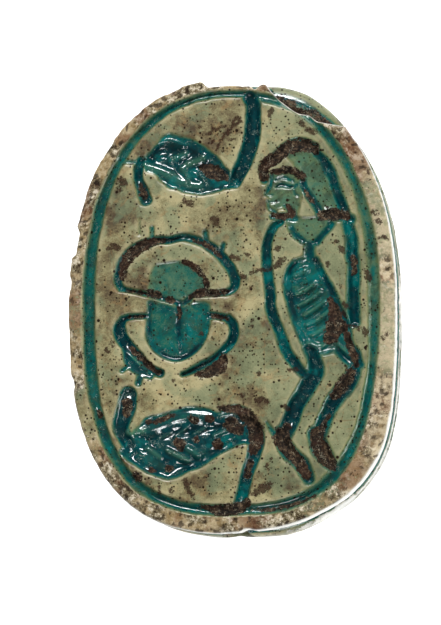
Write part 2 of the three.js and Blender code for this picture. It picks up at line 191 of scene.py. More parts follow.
def close_by(points, path, reach):
    return ((points > path.min(0) - reach) & (points < path.max(0) + reach)).all(1)


def in_stroke(points, line, widths):
    """Which points are near a line of changing width, their way in from its edge, and its half width."""
    path, place = smooth(line)
    widths = np.atleast_1d(widths)
    half = np.interp(place / place[-1], np.linspace(0, 1, len(widths)), widths) / 2
    near = close_by(points, path, half.max() + MARGIN)
    gap, where = to_path(points[near], path)
    half = np.interp(where, np.arange(len(half)), half)
    return near, half - gap, half


def in_area(points, line):
    """Which points are near a closed outline, and their way in from it."""
    path, _ = smooth(line, closed=True)
    near = close_by(points, path, MARGIN)
    gap, _ = to_path(points[near], path)
    return near, gap * np.where(inside(points[near], path), 1, -1)


# ---- the base's carving ----

UPPER_HOOD = [(-4.4, 7.25), (-3.8, 7.75), (-3.5, 8.25), (-3.05, 8.5), (-2.6, 8.4), (-1.95, 8.2),
              (-1.4, 7.9), (-1.0, 7.55), (-0.65, 7.25), (-0.4, 6.9), (-0.15, 6.5), (0.1, 6.1), (0, 5.75),
              (-0.85, 5.6), (-1.45, 5.45), (-2.0, 5.55), (-2.5, 5.75), (-3.05, 5.8), (-3.35, 6.1),
              (-3.8, 6.5), (-4.25, 6.7)]
SHOULDERS = [(-4.05, 0.7), (-4.05, 1.4), (-3.9, 1.9), (-3.7, 2.15), (-3.15, 2.25), (-2.6, 2.3),
             (-2.05, 2.1), (-1.6, 1.75), (-1.25, 1.3), (-1.15, 0.85), (-1.6, 0.65), (-2.15, 0.5),
             (-2.6, 0.35), (-3.2, 0.5)]
WING_CASES = [(-4.1, 0.4), (-4.15, -0.2), (-4.2, -1.0), (-4.2, -1.45), (-3.9, -2.0), (-3.45, -2.3),
              (-2.9, -2.55), (-2.4, -2.55), (-1.9, -2.25), (-1.5, -1.85), (-1.2, -1.4), (-1.05, -0.85),
              (-1.05, -0.3), (-1.1, 0.25), (-1.8, 0.35), (-2.55, 0.1), (-3.3, 0.25)]
LOWER_HOOD = [(-5.5, -6.9), (-5.0, -6.4), (-4.85, -5.95), (-4.45, -5.55), (-4.15, -5.25), (-3.5, -5.1),
              (-2.9, -4.95), (-2.35, -4.8), (-1.8, -4.75), (-1.15, -4.85), (-0.7, -5.0), (-0.35, -4.8),
              (0.2, -4.7), (0.65, -4.85), (1.0, -5.2), (1.35, -5.75), (1.5, -6.2), (1.4, -6.75),
              (0.5, -6.6), (-0.05, -6.85), (-0.6, -7.1), (-1.0, -7.4), (-1.5, -7.7), (-2.05, -7.9),
              (-2.5, -8.15), (-3.05, -8.3), (-3.6, -8.15), (-4.15, -7.95), (-4.7, -7.6), (-5.1, -7.35)]
WIG = [(2.6, 7.35), (3.3, 7.55), (3.9, 7.4), (4.3, 6.9), (4.6, 6.2), (4.9, 5.3), (5.15, 4.65), (4.7, 4.5),
       (4.25, 4.6), (4.0, 5.0), (3.7, 5.5), (3.4, 6.2), (3.0, 6.8)]
FACE = [(1.95, 6.45), (1.86, 6.15), (1.84, 5.86), (1.66, 5.6), (1.52, 5.4), (1.72, 5.3), (1.68, 5.18),
        (1.76, 5.08), (1.72, 4.96), (1.84, 4.84), (1.88, 4.68), (2.15, 4.6), (2.5, 4.7), (2.75, 4.4),
        (3.15, 4.4), (3.3, 4.9), (3.45, 5.6), (3.3, 6.2), (2.9, 6.5), (2.4, 6.55)]
CHEST = [(2.5, 4.3), (2.75, 3.75), (3.3, 3.2), (3.75, 2.75), (4.15, 3.05), (4.55, 3.5), (5.0, 4.1),
         (4.4, 4.35), (3.6, 4.3)]
KILT = [(3.3, 2.35), (2.75, 1.95), (2.45, 1.25), (2.5, 0.6), (2.7, -0.1), (3.0, -0.9), (3.35, -1.6),
        (3.75, -2.25), (4.4, -2.35), (5.2, -2.2), (5.7, -2.3), (5.75, -1.7), (5.4, -0.8), (5.1, 0.0),
        (4.75, 0.7), (4.4, 1.5), (4.05, 2.3)]

# Sunk areas: outline, depth, how far in the walls reach, and how deep the glaze's colour is
AREAS = [
    (UPPER_HOOD, 0.22, 0.34, 0.82),
    (SHOULDERS, 0.14, 0.26, 0.5),
    (WING_CASES, 0.18, 0.32, 0.66),
    (LOWER_HOOD, 0.26, 0.38, 0.85),
    (WIG, 0.16, 0.28, 0.4),
    (FACE, 0.12, 0.12, 0.36),
    (CHEST, 0.13, 0.24, 0.4),
    (KILT, 0.28, 0.36, 0.7),
]

# Gouges: points, widths, depth, and how deep the glaze's colour is
GOUGES = [
    # the upper cobra's tail, head and the link to the frame line
    ([(0.85, 10.15), (1.03, 9.75), (1.03, 8.95), (0.94, 8.25), (0.78, 7.6), (0.57, 7.0), (0.34, 6.55),
     (0.1, 6.1)], [0.7, 0.78, 0.78, 0.7], 0.42, 1.0),
    ([(-4.45, 7.15), (-4.56, 6.75), (-4.56, 6.25), (-4.4, 5.8), (-4.2, 5.3)], [0.45, 0.5, 0.6], 0.34, 1.0),
    ([(-5.45, 7.15), (-4.85, 7.1), (-4.45, 7.15)], 0.2, 0.14, 0.8),
    # the deeper parts of its hood
    ([(-3.95, 7.35), (-3.3, 7.7), (-2.6, 7.55), (-1.9, 7.15), (-1.2, 6.75), (-0.4, 6.45)],
     [0.5, 1.0, 1.1, 0.9, 0.6], 0.42, 1.0),
    ([(-3.5, 6.3), (-2.9, 6.0), (-2.2, 5.72), (-1.4, 5.65), (-0.6, 5.8)],
     [0.25, 0.3, 0.35, 0.4], 0.24, 0.75),
    # a short piece of a second line beside the tail
    ([(1.45, 10.05), (1.85, 9.98), (2.3, 9.8)], [0.2, 0.28, 0.22], 0.16, 0.85),
    # the beetle sign's upper legs, teeth, middle line and the line between its parts
    ([(-4.2, 0.7), (-4.55, 0.8), (-5.0, 0.9), (-5.4, 1.0)], [0.28, 0.26, 0.3], 0.28, 0.9),
    ([(-5.4, 1.0), (-5.55, 1.3), (-5.45, 1.7), (-5.3, 2.2), (-4.95, 2.65), (-4.55, 2.95), (-4.05, 3.15)],
     [0.35, 0.5, 0.6, 0.5], 0.34, 0.95),
    ([(-4.05, 3.15), (-3.55, 3.3), (-3.0, 3.3), (-2.45, 3.4), (-2.0, 3.35), (-1.55, 3.2), (-1.1, 2.95),
     (-0.65, 2.6), (-0.35, 2.25), (-0.05, 1.8), (0.15, 1.35)],
     [0.45, 0.35, 0.35, 0.45, 0.5, 0.45], 0.32, 1.0),
    ([(0.15, 1.35), (0.1, 1.0), (-0.2, 0.75), (-0.65, 0.7), (-1.15, 0.65)], [0.5, 0.35, 0.28], 0.3, 0.95),
    ([(-3.9, 3.9), (-3.9, 3.35)], 0.2, 0.15, 0.75),
    ([(-4.5, 4.3), (-4.5, 3.6)], 0.15, 0.08, 0.4),
    ([(-1.3, 3.65), (-1.25, 3.2)], 0.25, 0.18, 0.8),
    ([(-0.43, 3.05), (-0.5, 2.8)], 0.25, 0.18, 0.8),
    ([(-3.95, 0.7), (-3.0, 0.4), (-2.5, 0.22), (-2.15, 0.37), (-1.9, 0.63), (-1.2, 0.68)], 0.36, 0.3, 0.9),
    ([(-2.58, 0.24), (-2.58, -0.25), (-2.64, -0.8), (-2.6, -1.35), (-2.55, -2.1)],
     [0.4, 0.36, 0.3], 0.33, 1.0),
    # the deeper edge of its wing cases
    ([(-4.0, 0.2), (-4.05, -0.6), (-4.02, -1.4), (-3.7, -1.95), (-3.1, -2.35), (-2.45, -2.4),
     (-1.85, -2.05), (-1.4, -1.5), (-1.2, -0.9)], [0.25, 0.3, 0.34, 0.36, 0.34, 0.2], 0.28, 1.0),
    # its lower legs
    ([(-4.2, -0.35), (-4.9, -0.4), (-5.3, -0.5)], [0.28, 0.32, 0.4], 0.28, 1.0),
    ([(-5.3, -0.5), (-5.45, -0.9), (-5.4, -1.35), (-5.1, -1.75), (-4.75, -2.1), (-4.4, -2.45),
     (-4.0, -2.85), (-3.5, -3.15)], [0.4, 0.7, 0.6, 0.45, 0.42, 0.42], 0.36, 1.0),
    ([(-5.2, -2.0), (-4.95, -2.6), (-4.45, -3.0), (-3.95, -3.25)], [0.3, 0.6, 0.55, 0.4], 0.17, 0.85),
    ([(-5.35, -3.0), (-5.0, -2.75)], 0.25, 0.12, 0.8),
    ([(-4.55, -3.6), (-4.4, -3.1)], 0.32, 0.12, 0.9),
    ([(-1.1, -0.37), (-0.65, -0.43), (-0.2, -0.55)], [0.35, 0.32, 0.4], 0.3, 1.0),
    ([(-0.2, -0.55), (0.05, -0.85), (0.1, -1.25), (-0.05, -1.65), (-0.35, -2.0), (-0.75, -2.35),
     (-1.2, -2.65), (-1.7, -2.9), (-2.1, -3.1), (-2.4, -3.2)],
     [0.45, 0.5, 0.45, 0.4, 0.36, 0.26], 0.34, 1.0),
    ([(-0.55, -2.3), (-0.6, -2.7), (-1.0, -3.05), (-1.5, -3.2)], [0.4, 0.65, 0.55, 0.3], 0.17, 0.7),
    # the lower cobra's head, tail and the deeper parts of its hood
    ([(-5.05, -4.2), (-5.1, -4.7), (-5.3, -5.25), (-5.4, -5.7), (-5.2, -6.2), (-4.95, -6.65)],
     [0.85, 0.95, 0.85, 0.75, 0.65], 0.36, 0.95),
    ([(0.65, -5.5), (1.05, -5.9), (1.17, -6.45), (1.05, -7.0), (0.9, -7.5), (0.72, -8.0), (0.6, -8.55),
     (0.45, -9.05), (0.33, -9.5)], [0.75, 0.78, 0.66, 0.62, 0.62], 0.38, 0.95),
    ([(-4.1, -6.35), (-3.3, -6.15), (-2.4, -5.95), (-1.5, -5.85), (-0.6, -5.75), (0.2, -5.5)],
     [0.4, 0.6, 0.7, 0.7, 0.6], 0.42, 0.95),
    ([(-4.7, -6.95), (-4.0, -7.35), (-3.2, -7.75), (-2.5, -7.6), (-1.7, -7.3), (-0.9, -6.9), (-0.1, -6.5)],
     [0.5, 0.7, 0.75, 0.6, 0.5], 0.38, 0.9),
    # the figure's headdress and the back and front of its long wig
    ([(1.55, 6.1), (1.55, 6.75), (2.05, 7.2), (2.5, 7.55), (3.0, 7.8), (3.5, 7.8), (3.95, 7.6)],
     [0.35, 0.5, 0.58, 0.58, 0.5], 0.34, 0.8),
    ([(4.05, 7.4), (4.35, 7.1), (4.55, 6.75), (4.8, 6.3), (5.0, 5.75), (5.15, 5.25), (5.35, 4.75),
     (5.45, 4.5)], [0.36, 0.42, 0.4, 0.34], 0.34, 1.0),
    ([(3.45, 6.0), (3.55, 5.65), (3.8, 5.25), (4.0, 4.95), (4.2, 4.6), (4.3, 4.3)], 0.35, 0.3, 0.95),
    # its face, calm and of plain proportions: the profile, brow, eye, wing of the nose, mouth and ear
    ([(1.92, 6.4), (1.86, 5.98), (1.68, 5.58), (1.62, 5.42)], [0.16, 0.2, 0.16], 0.24, 0.95),
    ([(1.72, 5.0), (1.82, 4.72), (2.1, 4.58)], [0.14, 0.2, 0.18], 0.22, 0.9),
    ([(2.1, 6.16), (2.5, 6.26), (2.95, 6.08)], [0.14, 0.18, 0.12], 0.24, 0.95),
    ([(2.12, 5.82), (2.4, 5.9), (2.7, 5.82), (2.95, 5.8)], [0.12, 0.26, 0.2, 0.1], 0.3, 1.0),
    ([(1.74, 5.38), (1.95, 5.4)], [0.14, 0.12], 0.22, 0.9),
    ([(1.72, 5.08), (2.0, 5.06), (2.25, 5.14)], [0.14, 0.15, 0.1], 0.24, 0.95),
    ([(3.14, 5.9), (2.98, 5.72), (3.02, 5.44), (3.16, 5.36)], 0.13, 0.2, 0.85),
    ([(2.5, 4.9), (2.75, 4.75), (2.95, 4.5)], [0.16, 0.28, 0.3], 0.26, 0.8),
    # its shoulders, the chest's edges and the arms
    ([(1.95, 4.35), (2.5, 4.35), (3.05, 4.25)], 0.3, 0.26, 0.85),
    ([(4.3, 4.35), (4.8, 4.4), (5.35, 4.3), (5.75, 4.15)], [0.35, 0.48, 0.4], 0.3, 0.8),
    ([(2.85, 3.8), (3.1, 3.45), (3.45, 3.15)], [0.3, 0.34, 0.3], 0.24, 0.85),
    ([(4.75, 3.95), (4.5, 3.6), (4.2, 3.25), (4.05, 3.1)], 0.34, 0.28, 0.9),
    ([(2.35, 4.1), (2.05, 3.9), (1.78, 3.4), (1.65, 2.85), (1.68, 2.2), (1.73, 1.6), (1.8, 1.05),
     (1.85, 0.45), (1.85, 0), (2.0, -0.5), (2.2, -1.0), (2.35, -1.45), (2.5, -1.85), (2.7, -2.3),
     (2.95, -2.65), (3.2, -3.0), (3.5, -3.3)], [0.36, 0.48, 0.5, 0.5, 0.48, 0.46, 0.4], 0.32, 1.0),
    ([(5.55, 3.95), (5.75, 3.3), (5.8, 2.5), (5.88, 1.85), (5.85, 1.0), (5.83, 0.3), (5.9, -0.75)],
     [0.4, 0.5, 0.52, 0.52, 0.5], 0.34, 1.0),
    ([(3.75, 3.0), (3.72, 2.4)], [0.4, 0.46], 0.24, 0.9),
    # the kilt's deeper edges
    ([(3.05, 2.1), (2.75, 1.7), (2.68, 1.1), (2.78, 0.4), (2.95, -0.3), (3.2, -1.0), (3.5, -1.7)],
     [0.3, 0.42, 0.42, 0.36], 0.34, 1.0),
    ([(4.0, 2.2), (4.25, 1.65), (4.5, 1.15), (4.8, 0.6), (5.05, 0.05), (5.2, -0.35), (5.4, -0.8),
     (5.55, -1.3), (5.65, -1.85), (5.95, -2.35), (6.1, -2.85)], [0.3, 0.34, 0.36, 0.36, 0.4], 0.36, 1.0),
    # the legs and feet
    ([(3.7, -2.0), (3.95, -2.6), (4.0, -3.2), (3.7, -3.7), (3.4, -4.2), (3.1, -4.75), (2.9, -5.3),
     (2.7, -5.75), (2.5, -6.1)], [0.55, 0.75, 0.78, 0.76, 0.72], 0.42, 1.0),
    ([(2.3, -6.0), (2.45, -6.6), (2.8, -7.1), (3.25, -7.5), (3.55, -8.0), (3.7, -8.3)],
     [0.5, 0.72, 0.74, 0.5], 0.4, 0.85),
    ([(1.65, -5.55), (1.95, -6.0), (2.3, -6.4)], [0.12, 0.22, 0.3], 0.16, 0.85),
    ([(5.1, -2.1), (5.5, -2.5), (5.9, -2.85)], [0.4, 0.5, 0.5], 0.34, 0.9),
    ([(5.9, -2.75), (5.8, -3.35), (5.5, -3.85), (5.1, -4.3), (4.75, -4.8), (4.55, -5.25), (4.35, -5.7),
     (4.25, -6.1)], [0.5, 0.72, 0.66, 0.6, 0.55], 0.4, 1.0),
    ([(4.0, -6.15), (4.2, -6.75), (4.55, -7.35), (4.85, -7.75)], [0.7, 0.84, 0.7, 0.45], 0.4, 0.85),
]

# Ribs left standing in the sunk areas: points, width, height, and how pale their thin glaze is
RIBS = [
    ([(-4.25, 6.95), (-3.7, 6.75), (-3.2, 6.5), (-2.75, 6.2), (-2.25, 6.0), (-1.6, 5.88)],
     [0.4, 0.6, 0.5], 0.2, 0.55),
    ([(-3.5, 8.1), (-3.0, 8.05), (-2.45, 7.85)], [0.5, 0.6, 0.4], 0.16, 0.1),
    ([(-2.95, 7.2), (-2.3, 7.5)], 0.4, 0.2, 0.5),
    ([(-2.2, 6.98), (-1.45, 7.26)], 0.44, 0.22, 0.7),
    ([(-2.45, 6.75), (-2.1, 6.3)], 0.34, 0.2, 0.5),
    ([(-1.55, 6.45), (-1.35, 6.25)], 0.3, 0.18, 0.2),
    ([(-5.0, -5.95), (-4.3, -5.9)], 0.45, 0.2, 0.9),
    ([(-4.2, -5.95), (-3.8, -5.7), (-3.15, -5.4), (-2.7, -5.25), (-2.15, -5.15), (-1.5, -5.2),
     (-1.0, -5.25)], [0.45, 0.62, 0.6, 0.45], 0.2, 0.15),
    ([(-0.6, -5.2), (0.1, -5.05), (0.7, -5.2)], [0.3, 0.36, 0.3], 0.2, 0.3),
    ([(-4.5, -7.05), (-3.9, -7.38), (-3.2, -7.74)], [0.44, 0.54, 0.4], 0.2, 0.2),
    ([(-4.1, -6.75), (-3.5, -7.2)], [0.3, 0.36, 0.28], 0.18, 0.6),
    ([(-3.15, -6.85), (-2.15, -7.36)], [0.3, 0.38, 0.3], 0.2, 0.7),
    ([(-2.15, -6.8), (-1.65, -7.12)], 0.38, 0.2, 0.4),
    ([(-1.9, -6.05), (-1.3, -5.75)], 0.2, 0.2, 0.3),
    ([(-3.6, -6.3), (-3.0, -6.0)], 0.16, 0.16, 0.3),
    ([(-2.75, -6.15), (-2.2, -5.75)], 0.16, 0.16, 0.3),
    ([(-0.9, -6.15), (-0.25, -5.9)], 0.26, 0.2, 0.3),
    ([(3.0, 1.5), (3.55, 1.75)], [0.3, 0.34], 0.2, 0.7),
    ([(3.1, 0.6), (3.55, 0.8), (4.0, 1.1)], 0.2, 0.22, 0.8),
    ([(3.2, 0.05), (3.7, 0.3), (4.25, 0.7)], 0.2, 0.22, 0.8),
    ([(3.45, -0.45), (3.9, -0.15), (4.45, 0.25)], 0.22, 0.22, 0.8),
    ([(3.6, -0.9), (4.1, -0.65), (4.7, -0.2)], 0.26, 0.22, 0.8),
    ([(3.85, -1.4), (4.3, -1.15), (4.75, -0.85)], 0.28, 0.2, 0.8),
    ([(3.6, -1.75), (4.15, -1.95), (4.7, -1.7)], 0.3, 0.16, 0.5),
    ([(5.0, -1.75), (5.3, -2.05), (5.6, -2.4)], 0.2, 0.2, 0.4),
]

# Brown dirt that fills the carving: points and widths
DIRT = [
    ([(-1.5, 6.9), (-0.9, 6.55), (-0.35, 6.3)], [0.3, 0.75, 0.4]),
    ([(-4.5, 6.0), (-4.3, 5.5)], [0.2, 0.35]),
    ([(-5.35, 1.5), (-5.2, 2.2), (-4.7, 2.8), (-4.0, 3.15), (-3.3, 3.3)], [0.3, 0.55, 0.6, 0.5, 0.2]),
    ([(-5.1, 0.9), (-4.4, 0.75)], 0.15),
    ([(-1.9, 3.3), (-1.2, 3.0), (-0.6, 2.5)], [0.15, 0.22, 0.15]),
    ([(-3.95, 0.72), (-3.6, 0.62)], [0.36, 0.3]),
    ([(-3.15, 0.42), (-2.9, 0.36)], [0.3, 0.25]),
    ([(-2.0, 0.55), (-1.5, 0.72), (-1.0, 0.7), (-0.3, 0.75)], [0.25, 0.42, 0.36, 0.2]),
    ([(-2.3, 2.25), (-1.8, 1.95), (-1.4, 1.5), (-1.2, 1.0)], [0.25, 0.3, 0.3, 0.25]),
    ([(-2.58, 0.0), (-2.6, -0.4)], [0.16, 0.24]),
    ([(-4.9, -1.9), (-4.3, -2.5), (-3.6, -3.1)], [0.2, 0.3, 0.2]),
    ([(-5.0, -0.42), (-4.4, -0.38)], [0.12, 0.16]),
    ([(-0.9, -0.4), (-0.3, -0.5)], 0.2),
    ([(-0.45, -2.35), (-0.6, -2.8), (-1.1, -3.1), (-1.6, -3.2)], [0.4, 0.75, 0.55, 0.3]),
    ([(-5.1, -4.55), (-5.15, -5.0)], [0.5, 0.4]),
    ([(-4.1, -5.55), (-3.5, -5.4), (-2.9, -5.2)], [0.2, 0.25, 0.2]),
    ([(-1.95, -5.35), (-1.75, -5.4)], [0.4, 0.3]),
    ([(-1.2, -5.35), (-1.05, -5.35)], 0.3),
    ([(-0.6, -4.85), (0.2, -4.9), (0.75, -5.3), (1.1, -5.8), (1.15, -6.4), (1.0, -6.9)],
     [0.2, 0.45, 0.65, 0.75, 0.7, 0.4]),
    ([(-0.1, -5.6), (0.3, -5.9)], [0.7, 0.5]),
    ([(-2.6, -6.5), (-2.5, -6.6)], 0.5),
    ([(-0.75, -6.5), (-0.65, -6.6)], 0.42),
    ([(-1.8, -6.3), (-1.75, -6.4)], 0.28),
    ([(-3.95, -7.8), (-3.85, -7.8)], [0.28, 0.24]),
    ([(-3.1, -7.75), (-3.0, -7.75)], [0.34, 0.3]),
    ([(-4.7, -8.0), (-4.5, -8.2)], [0.25, 0.35]),
    ([(0.85, -7.4), (0.7, -8.1)], [0.25, 0.35]),
    ([(-1.4, -9.6), (-0.6, -9.75), (0.1, -9.7), (0.7, -9.4)], [0.25, 0.5, 0.6, 0.4]),
    ([(0.9, -9.75), (2.4, -9.65), (4.0, -9.1)], [0.1, 0.16, 0.1]),
    ([(1.55, 6.3), (1.6, 6.8), (2.1, 7.2), (2.7, 7.65), (3.4, 7.8), (4.0, 7.6)],
     [0.45, 0.62, 0.62, 0.6, 0.5]),
    ([(1.9, 6.5), (2.4, 6.6), (3.0, 6.5), (3.4, 6.3)], [0.2, 0.3, 0.36, 0.36]),
    ([(2.7, 4.85), (2.85, 4.6), (2.8, 4.4)], [0.2, 0.36, 0.36]),
    ([(2.0, 4.4), (2.6, 4.35)], [0.2, 0.28]),
    ([(4.35, 4.4), (4.9, 4.45), (5.5, 4.35)], [0.45, 0.6, 0.4]),
    ([(5.85, 2.3), (5.9, 1.6)], 0.28),
    ([(3.5, 5.6), (3.9, 5.0)], [0.12, 0.16]),
    ([(4.7, 0.3), (4.95, -0.3), (4.95, -0.9), (4.75, -1.5)], [0.25, 0.55, 0.9, 0.7]),
    ([(5.3, -0.8), (5.55, -1.5), (5.8, -2.2), (5.95, -2.8)], [0.3, 0.35, 0.35, 0.3]),
    ([(5.65, -3.3), (5.3, -3.85), (4.95, -4.3)], [0.5, 0.62, 0.45]),
    ([(4.6, -5.3), (4.3, -5.9)], [0.2, 0.3]),
    ([(2.6, -5.8), (2.35, -6.3), (2.7, -6.9), (3.2, -7.5), (3.55, -8.1)], [0.4, 0.8, 0.6, 0.55, 0.4]),
    ([(4.05, -6.15), (4.2, -6.75), (4.55, -7.35), (4.8, -7.7)], [0.6, 0.84, 0.75, 0.45]),
    ([(-6.5, -4.95), (-6.4, -5.15)], 0.24),
]

# Brown stains and specks on the flat ground: points and widths
STAINS = [
    ([(0.48, 9.0), (0.22, 8.88), (-0.05, 8.74), (-0.28, 8.42), (-0.49, 8.15), (-0.62, 7.85), (-0.76, 7.58)],
     [0.12, 0.2, 0.15, 0.15, 0.1]),
    ([(0.42, 9.12), (0.28, 9.2), (0.12, 8.98), (-0.02, 8.8)], [0.08, 0.14, 0.1]),
    ([(-1.38, 8.36), (-1.15, 8.42), (-0.92, 8.5), (-0.8, 8.62)], [0.08, 0.15, 0.17]),
    ([(-0.96, 8.66), (-0.75, 8.62), (-0.55, 8.76), (-0.36, 8.78)], [0.14, 0.13, 0.08]),
    ([(-1.02, 7.95), (-0.84, 8.15), (-0.7, 8.42)], [0.07, 0.11, 0.07]),
    ([(-0.14, 8.07), (0.12, 8.16)], [0.08, 0.1]),
    ([(-0.4, 7.56), (-0.3, 7.6)], [0.14, 0.12]),
    ([(-1.55, 8.8), (-1.5, 8.8)], 0.12),
    ([(-2.3, 5.25), (-2.1, 5.05)], [0.3, 0.36]),
    ([(-2.6, 4.95), (-2.1, 5.1), (-1.7, 4.9)], [0.05, 0.12, 0.04]),
    ([(-5.35, 6.2), (-5.25, 6.05)], [0.34, 0.3]),
    ([(-5.5, 5.85), (-5.45, 5.75)], 0.2),
    ([(1.95, 9.55), (1.88, 9.3)], [0.16, 0.2]),
    ([(3.7, 8.55), (4.0, 8.4)], 0.3),
    ([(3.35, 8.85), (3.45, 8.75)], 0.22),
    ([(-0.85, 4.3), (-0.75, 4.0)], [0.34, 0.26]),
    ([(0.6, 2.53), (1.0, 2.5)], [0.1, 0.16]),
    ([(-0.05, 2.45), (0.25, 2.35)], [0.2, 0.26]),
    ([(0.5, 1.5), (0.62, 1.4)], [0.22, 0.18]),
    ([(-6.1, 2.9), (-5.5, 2.95)], [0.1, 0.22]),
    ([(-5.9, 3.1), (-5.6, 3.05)], [0.1, 0.16]),
    ([(-5.82, -1.7), (-5.75, -1.8)], 0.2),
    ([(-6.1, -2.0), (-6.0, -2.1)], 0.16),
    ([(-4.93, -1.1), (-4.87, -1.2)], 0.16),
    ([(-2.9, 3.63), (-2.92, 3.6)], 0.1),
    ([(-2.88, -3.5), (-2.85, -3.52)], 0.13),
    ([(-0.64, -3.74), (-0.6, -3.76)], 0.14),
    ([(0.5, -4.3), (0.52, -4.38)], [0.22, 0.2]),
    ([(1.1, -4.07), (1.15, -4.05)], [0.12, 0.14]),
    ([(-0.9, -1.55), (-0.88, -1.57)], 0.1),
    ([(-1.58, -1.25), (-1.5, -1.3)], 0.17),
    ([(2.15, 2.85), (2.4, 2.8)], [0.2, 0.24]),
    ([(2.1, 1.95), (2.35, 2.15), (2.5, 2.3)], [0.2, 0.4, 0.2]),
    ([(0.95, 1.68), (1.4, 1.76), (1.9, 1.85)], [0.16, 0.16, 0.1]),
    ([(5.2, 2.8), (5.4, 2.65)], 0.24),
    ([(5.05, 3.1), (5.0, 3.05)], 0.16),
    ([(4.6, 2.05), (4.62, 2.0)], 0.2),
    ([(5.2, 0.94), (5.22, 0.92)], 0.1),
    ([(5.4, 0.1), (5.5, 0.0)], 0.2),
    ([(5.35, -0.35), (5.45, -0.45)], 0.24),
    ([(5.5, -0.9), (6.0, -1.1), (6.45, -1.3)], [0.1, 0.16, 0.3]),
    ([(0.91, 0.94), (0.93, 0.92)], 0.12),
    ([(0.99, -0.65), (1.0, -0.68)], 0.13),
    ([(0.99, -0.95), (1.0, -0.97)], 0.11),
    ([(1.27, -3.2), (1.3, -3.22)], 0.14),
    ([(2.7, -3.05), (3.1, -3.1)], [0.14, 0.22]),
    ([(1.25, -4.5), (1.5, -4.45), (1.75, -4.65)], [0.28, 0.22, 0.14]),
    ([(2.55, -4.8), (2.65, -4.95)], 0.2),
    ([(-2.96, -8.75), (-2.95, -8.95)], [0.18, 0.2]),
    ([(-3.5, -8.65), (-3.5, -8.95)], [0.14, 0.16]),
    ([(-2.25, -8.3), (-2.1, -8.7), (-1.85, -9.2)], [0.28, 0.22, 0.14]),
    ([(1.85, -8.5), (1.5, -8.75), (0.95, -8.97)], [0.3, 0.38, 0.3]),
    ([(1.64, -7.65), (1.68, -7.75)], 0.2),
    ([(1.88, -7.3), (1.86, -7.42)], 0.14),
    ([(3.94, -7.45), (3.95, -7.48)], 0.11),
    ([(6.7, 6.75), (6.6, 6.5), (6.72, 6.15)], [0.05, 0.1, 0.05]),
    ([(6.8, 4.5), (6.95, 4.42)], [0.22, 0.2]),
    ([(7.0, 4.05), (7.15, 4.0)], [0.26, 0.22]),
    ([(7.05, 3.25), (7.35, 3.3), (7.6, 3.1)], [0.08, 0.1, 0.06]),
    ([(7.25, -1.6), (7.5, -1.35)], [0.1, 0.06]),
    ([(6.45, 1.6), (6.6, 1.3)], [0.26, 0.3]),
]

# The frame line's width, how deep its glaze's colour is, and its depth, by degrees round it
FRAME_WIDTHS = [(0, 0.52), (20, 0.5), (38, 0.38), (60, 0.36), (90, 0.34), (110, 0.42), (135, 0.5),
                (160, 0.58), (180, 0.6), (205, 0.58), (225, 0.5), (250, 0.5), (270, 0.56), (290, 0.5),
                (310, 0.42), (325, 0.34), (337, 0.34), (348, 0.46)]
FRAME_GLAZE = [(0, 0.52), (25, 0.58), (60, 0.7), (90, 0.72), (135, 0.66), (180, 0.64), (215, 0.7),
               (270, 0.7), (300, 0.68), (325, 0.72), (345, 0.6)]
FRAME_DEPTH = [(0, 0.2), (25, 0.24), (60, 0.28), (90, 0.3), (180, 0.36), (230, 0.34), (270, 0.36),
               (310, 0.3), (340, 0.24)]

# How rough the worn rim is outside the frame line, by degrees
RIM_ROUGH = [(0, 0.35), (7, 0.3), (11, 0.85), (15, 0.8), (19, 0.3), (32, 0.22), (42, 0.4), (49, 1), (60, 1),
             (72, 0.8), (90, 0.85), (105, 1), (160, 1), (170, 0.7), (182, 0.45), (192, 0.7), (200, 1),
             (206, 0.8), (209, 0.12), (219, 0.15), (227, 0.7), (250, 0.9), (270, 0.85), (290, 0.5),
             (302, 0.6), (315, 0.9), (332, 0.95), (339, 0.3), (350, 0.3)]

# Flakes off the plate's upper edge: degrees, half their length, reach and depth
FLAKES = [(10, 0.8, 0.6, 0.22), (-31, 0.7, 0.6, 0.3), (-43, 0.9, 0.55, 0.35), (-52, 0.5, 0.35, 0.2),
          (-93, 0.6, 0.45, 0.3), (128, 0.7, 0.35, 0.2), (146, 0.9, 0.4, 0.2), (172, 0.6, 0.3, 0.15),
          (192, 1.1, 0.4, 0.2), (240, 0.7, 0.3, 0.15), (105, 0.5, 0.35, 0.2), (50, 0.9, 0.6, 0.18)]
# How far the outline lies inside the oval, by degrees
LOSS = [(0, 0), (267, 0), (280, 0.15), (293, 0.25), (297, 0.2), (302, 0.08), (307, 0), (313, -0.1),
        (317, -0.13), (326, -0.08), (338, 0)]
# Dents in the plate's edge: degrees, half their width in degrees, and depth
DENTS = [(157, 5.5, 0.2), (90, 8, 0.36), (80.5, 5, 0.2), (-86, 2.5, 0.12), (205, 3, 0.08), (171, 3, 0.07)]
DENT_WALL = 2.2  # degrees
# How far the band of legs reaches past the oval where the plate is lost, by degrees
LEG_REACH = [(0, 0), (58, 0), (66, 0.13), (72, 0.22), (79, 0.15), (84, 0), (268, 0), (274, 0.07),
             (282, 0.18), (290, 0.12), (300, 0.05), (306, 0)]
# The line along which a corner of the plate has broken away
BREAK = [(1.35, 11.6), (1.65, 10.75), (2.05, 10.25), (2.4, 9.9), (2.8, 9.6), (3.2, 9.35), (3.7, 9.25),
         (4.1, 8.95), (4.45, 8.85), (5.0, 8.75), (5.25, 8.7), (5.9, 8.62)]

WOBBLE = 0.05  # how far the cutting wavers from its drawn lines
GOUGE_WALL, FRAME_WALL = 0.34, 0.27  # how far the walls of gouges and of the frame line reach in
AREA_UNEVEN, GOUGE_UNEVEN = 0.25, 0.3  # the share of a cut's depth that varies
BLEND = 0.08  # the depth over which two cuts run into each other
RIB_LEFT = 0.06  # a rib's top stays at least this far below the ground
MEAN_RADIUS = 9.5  # of the outline


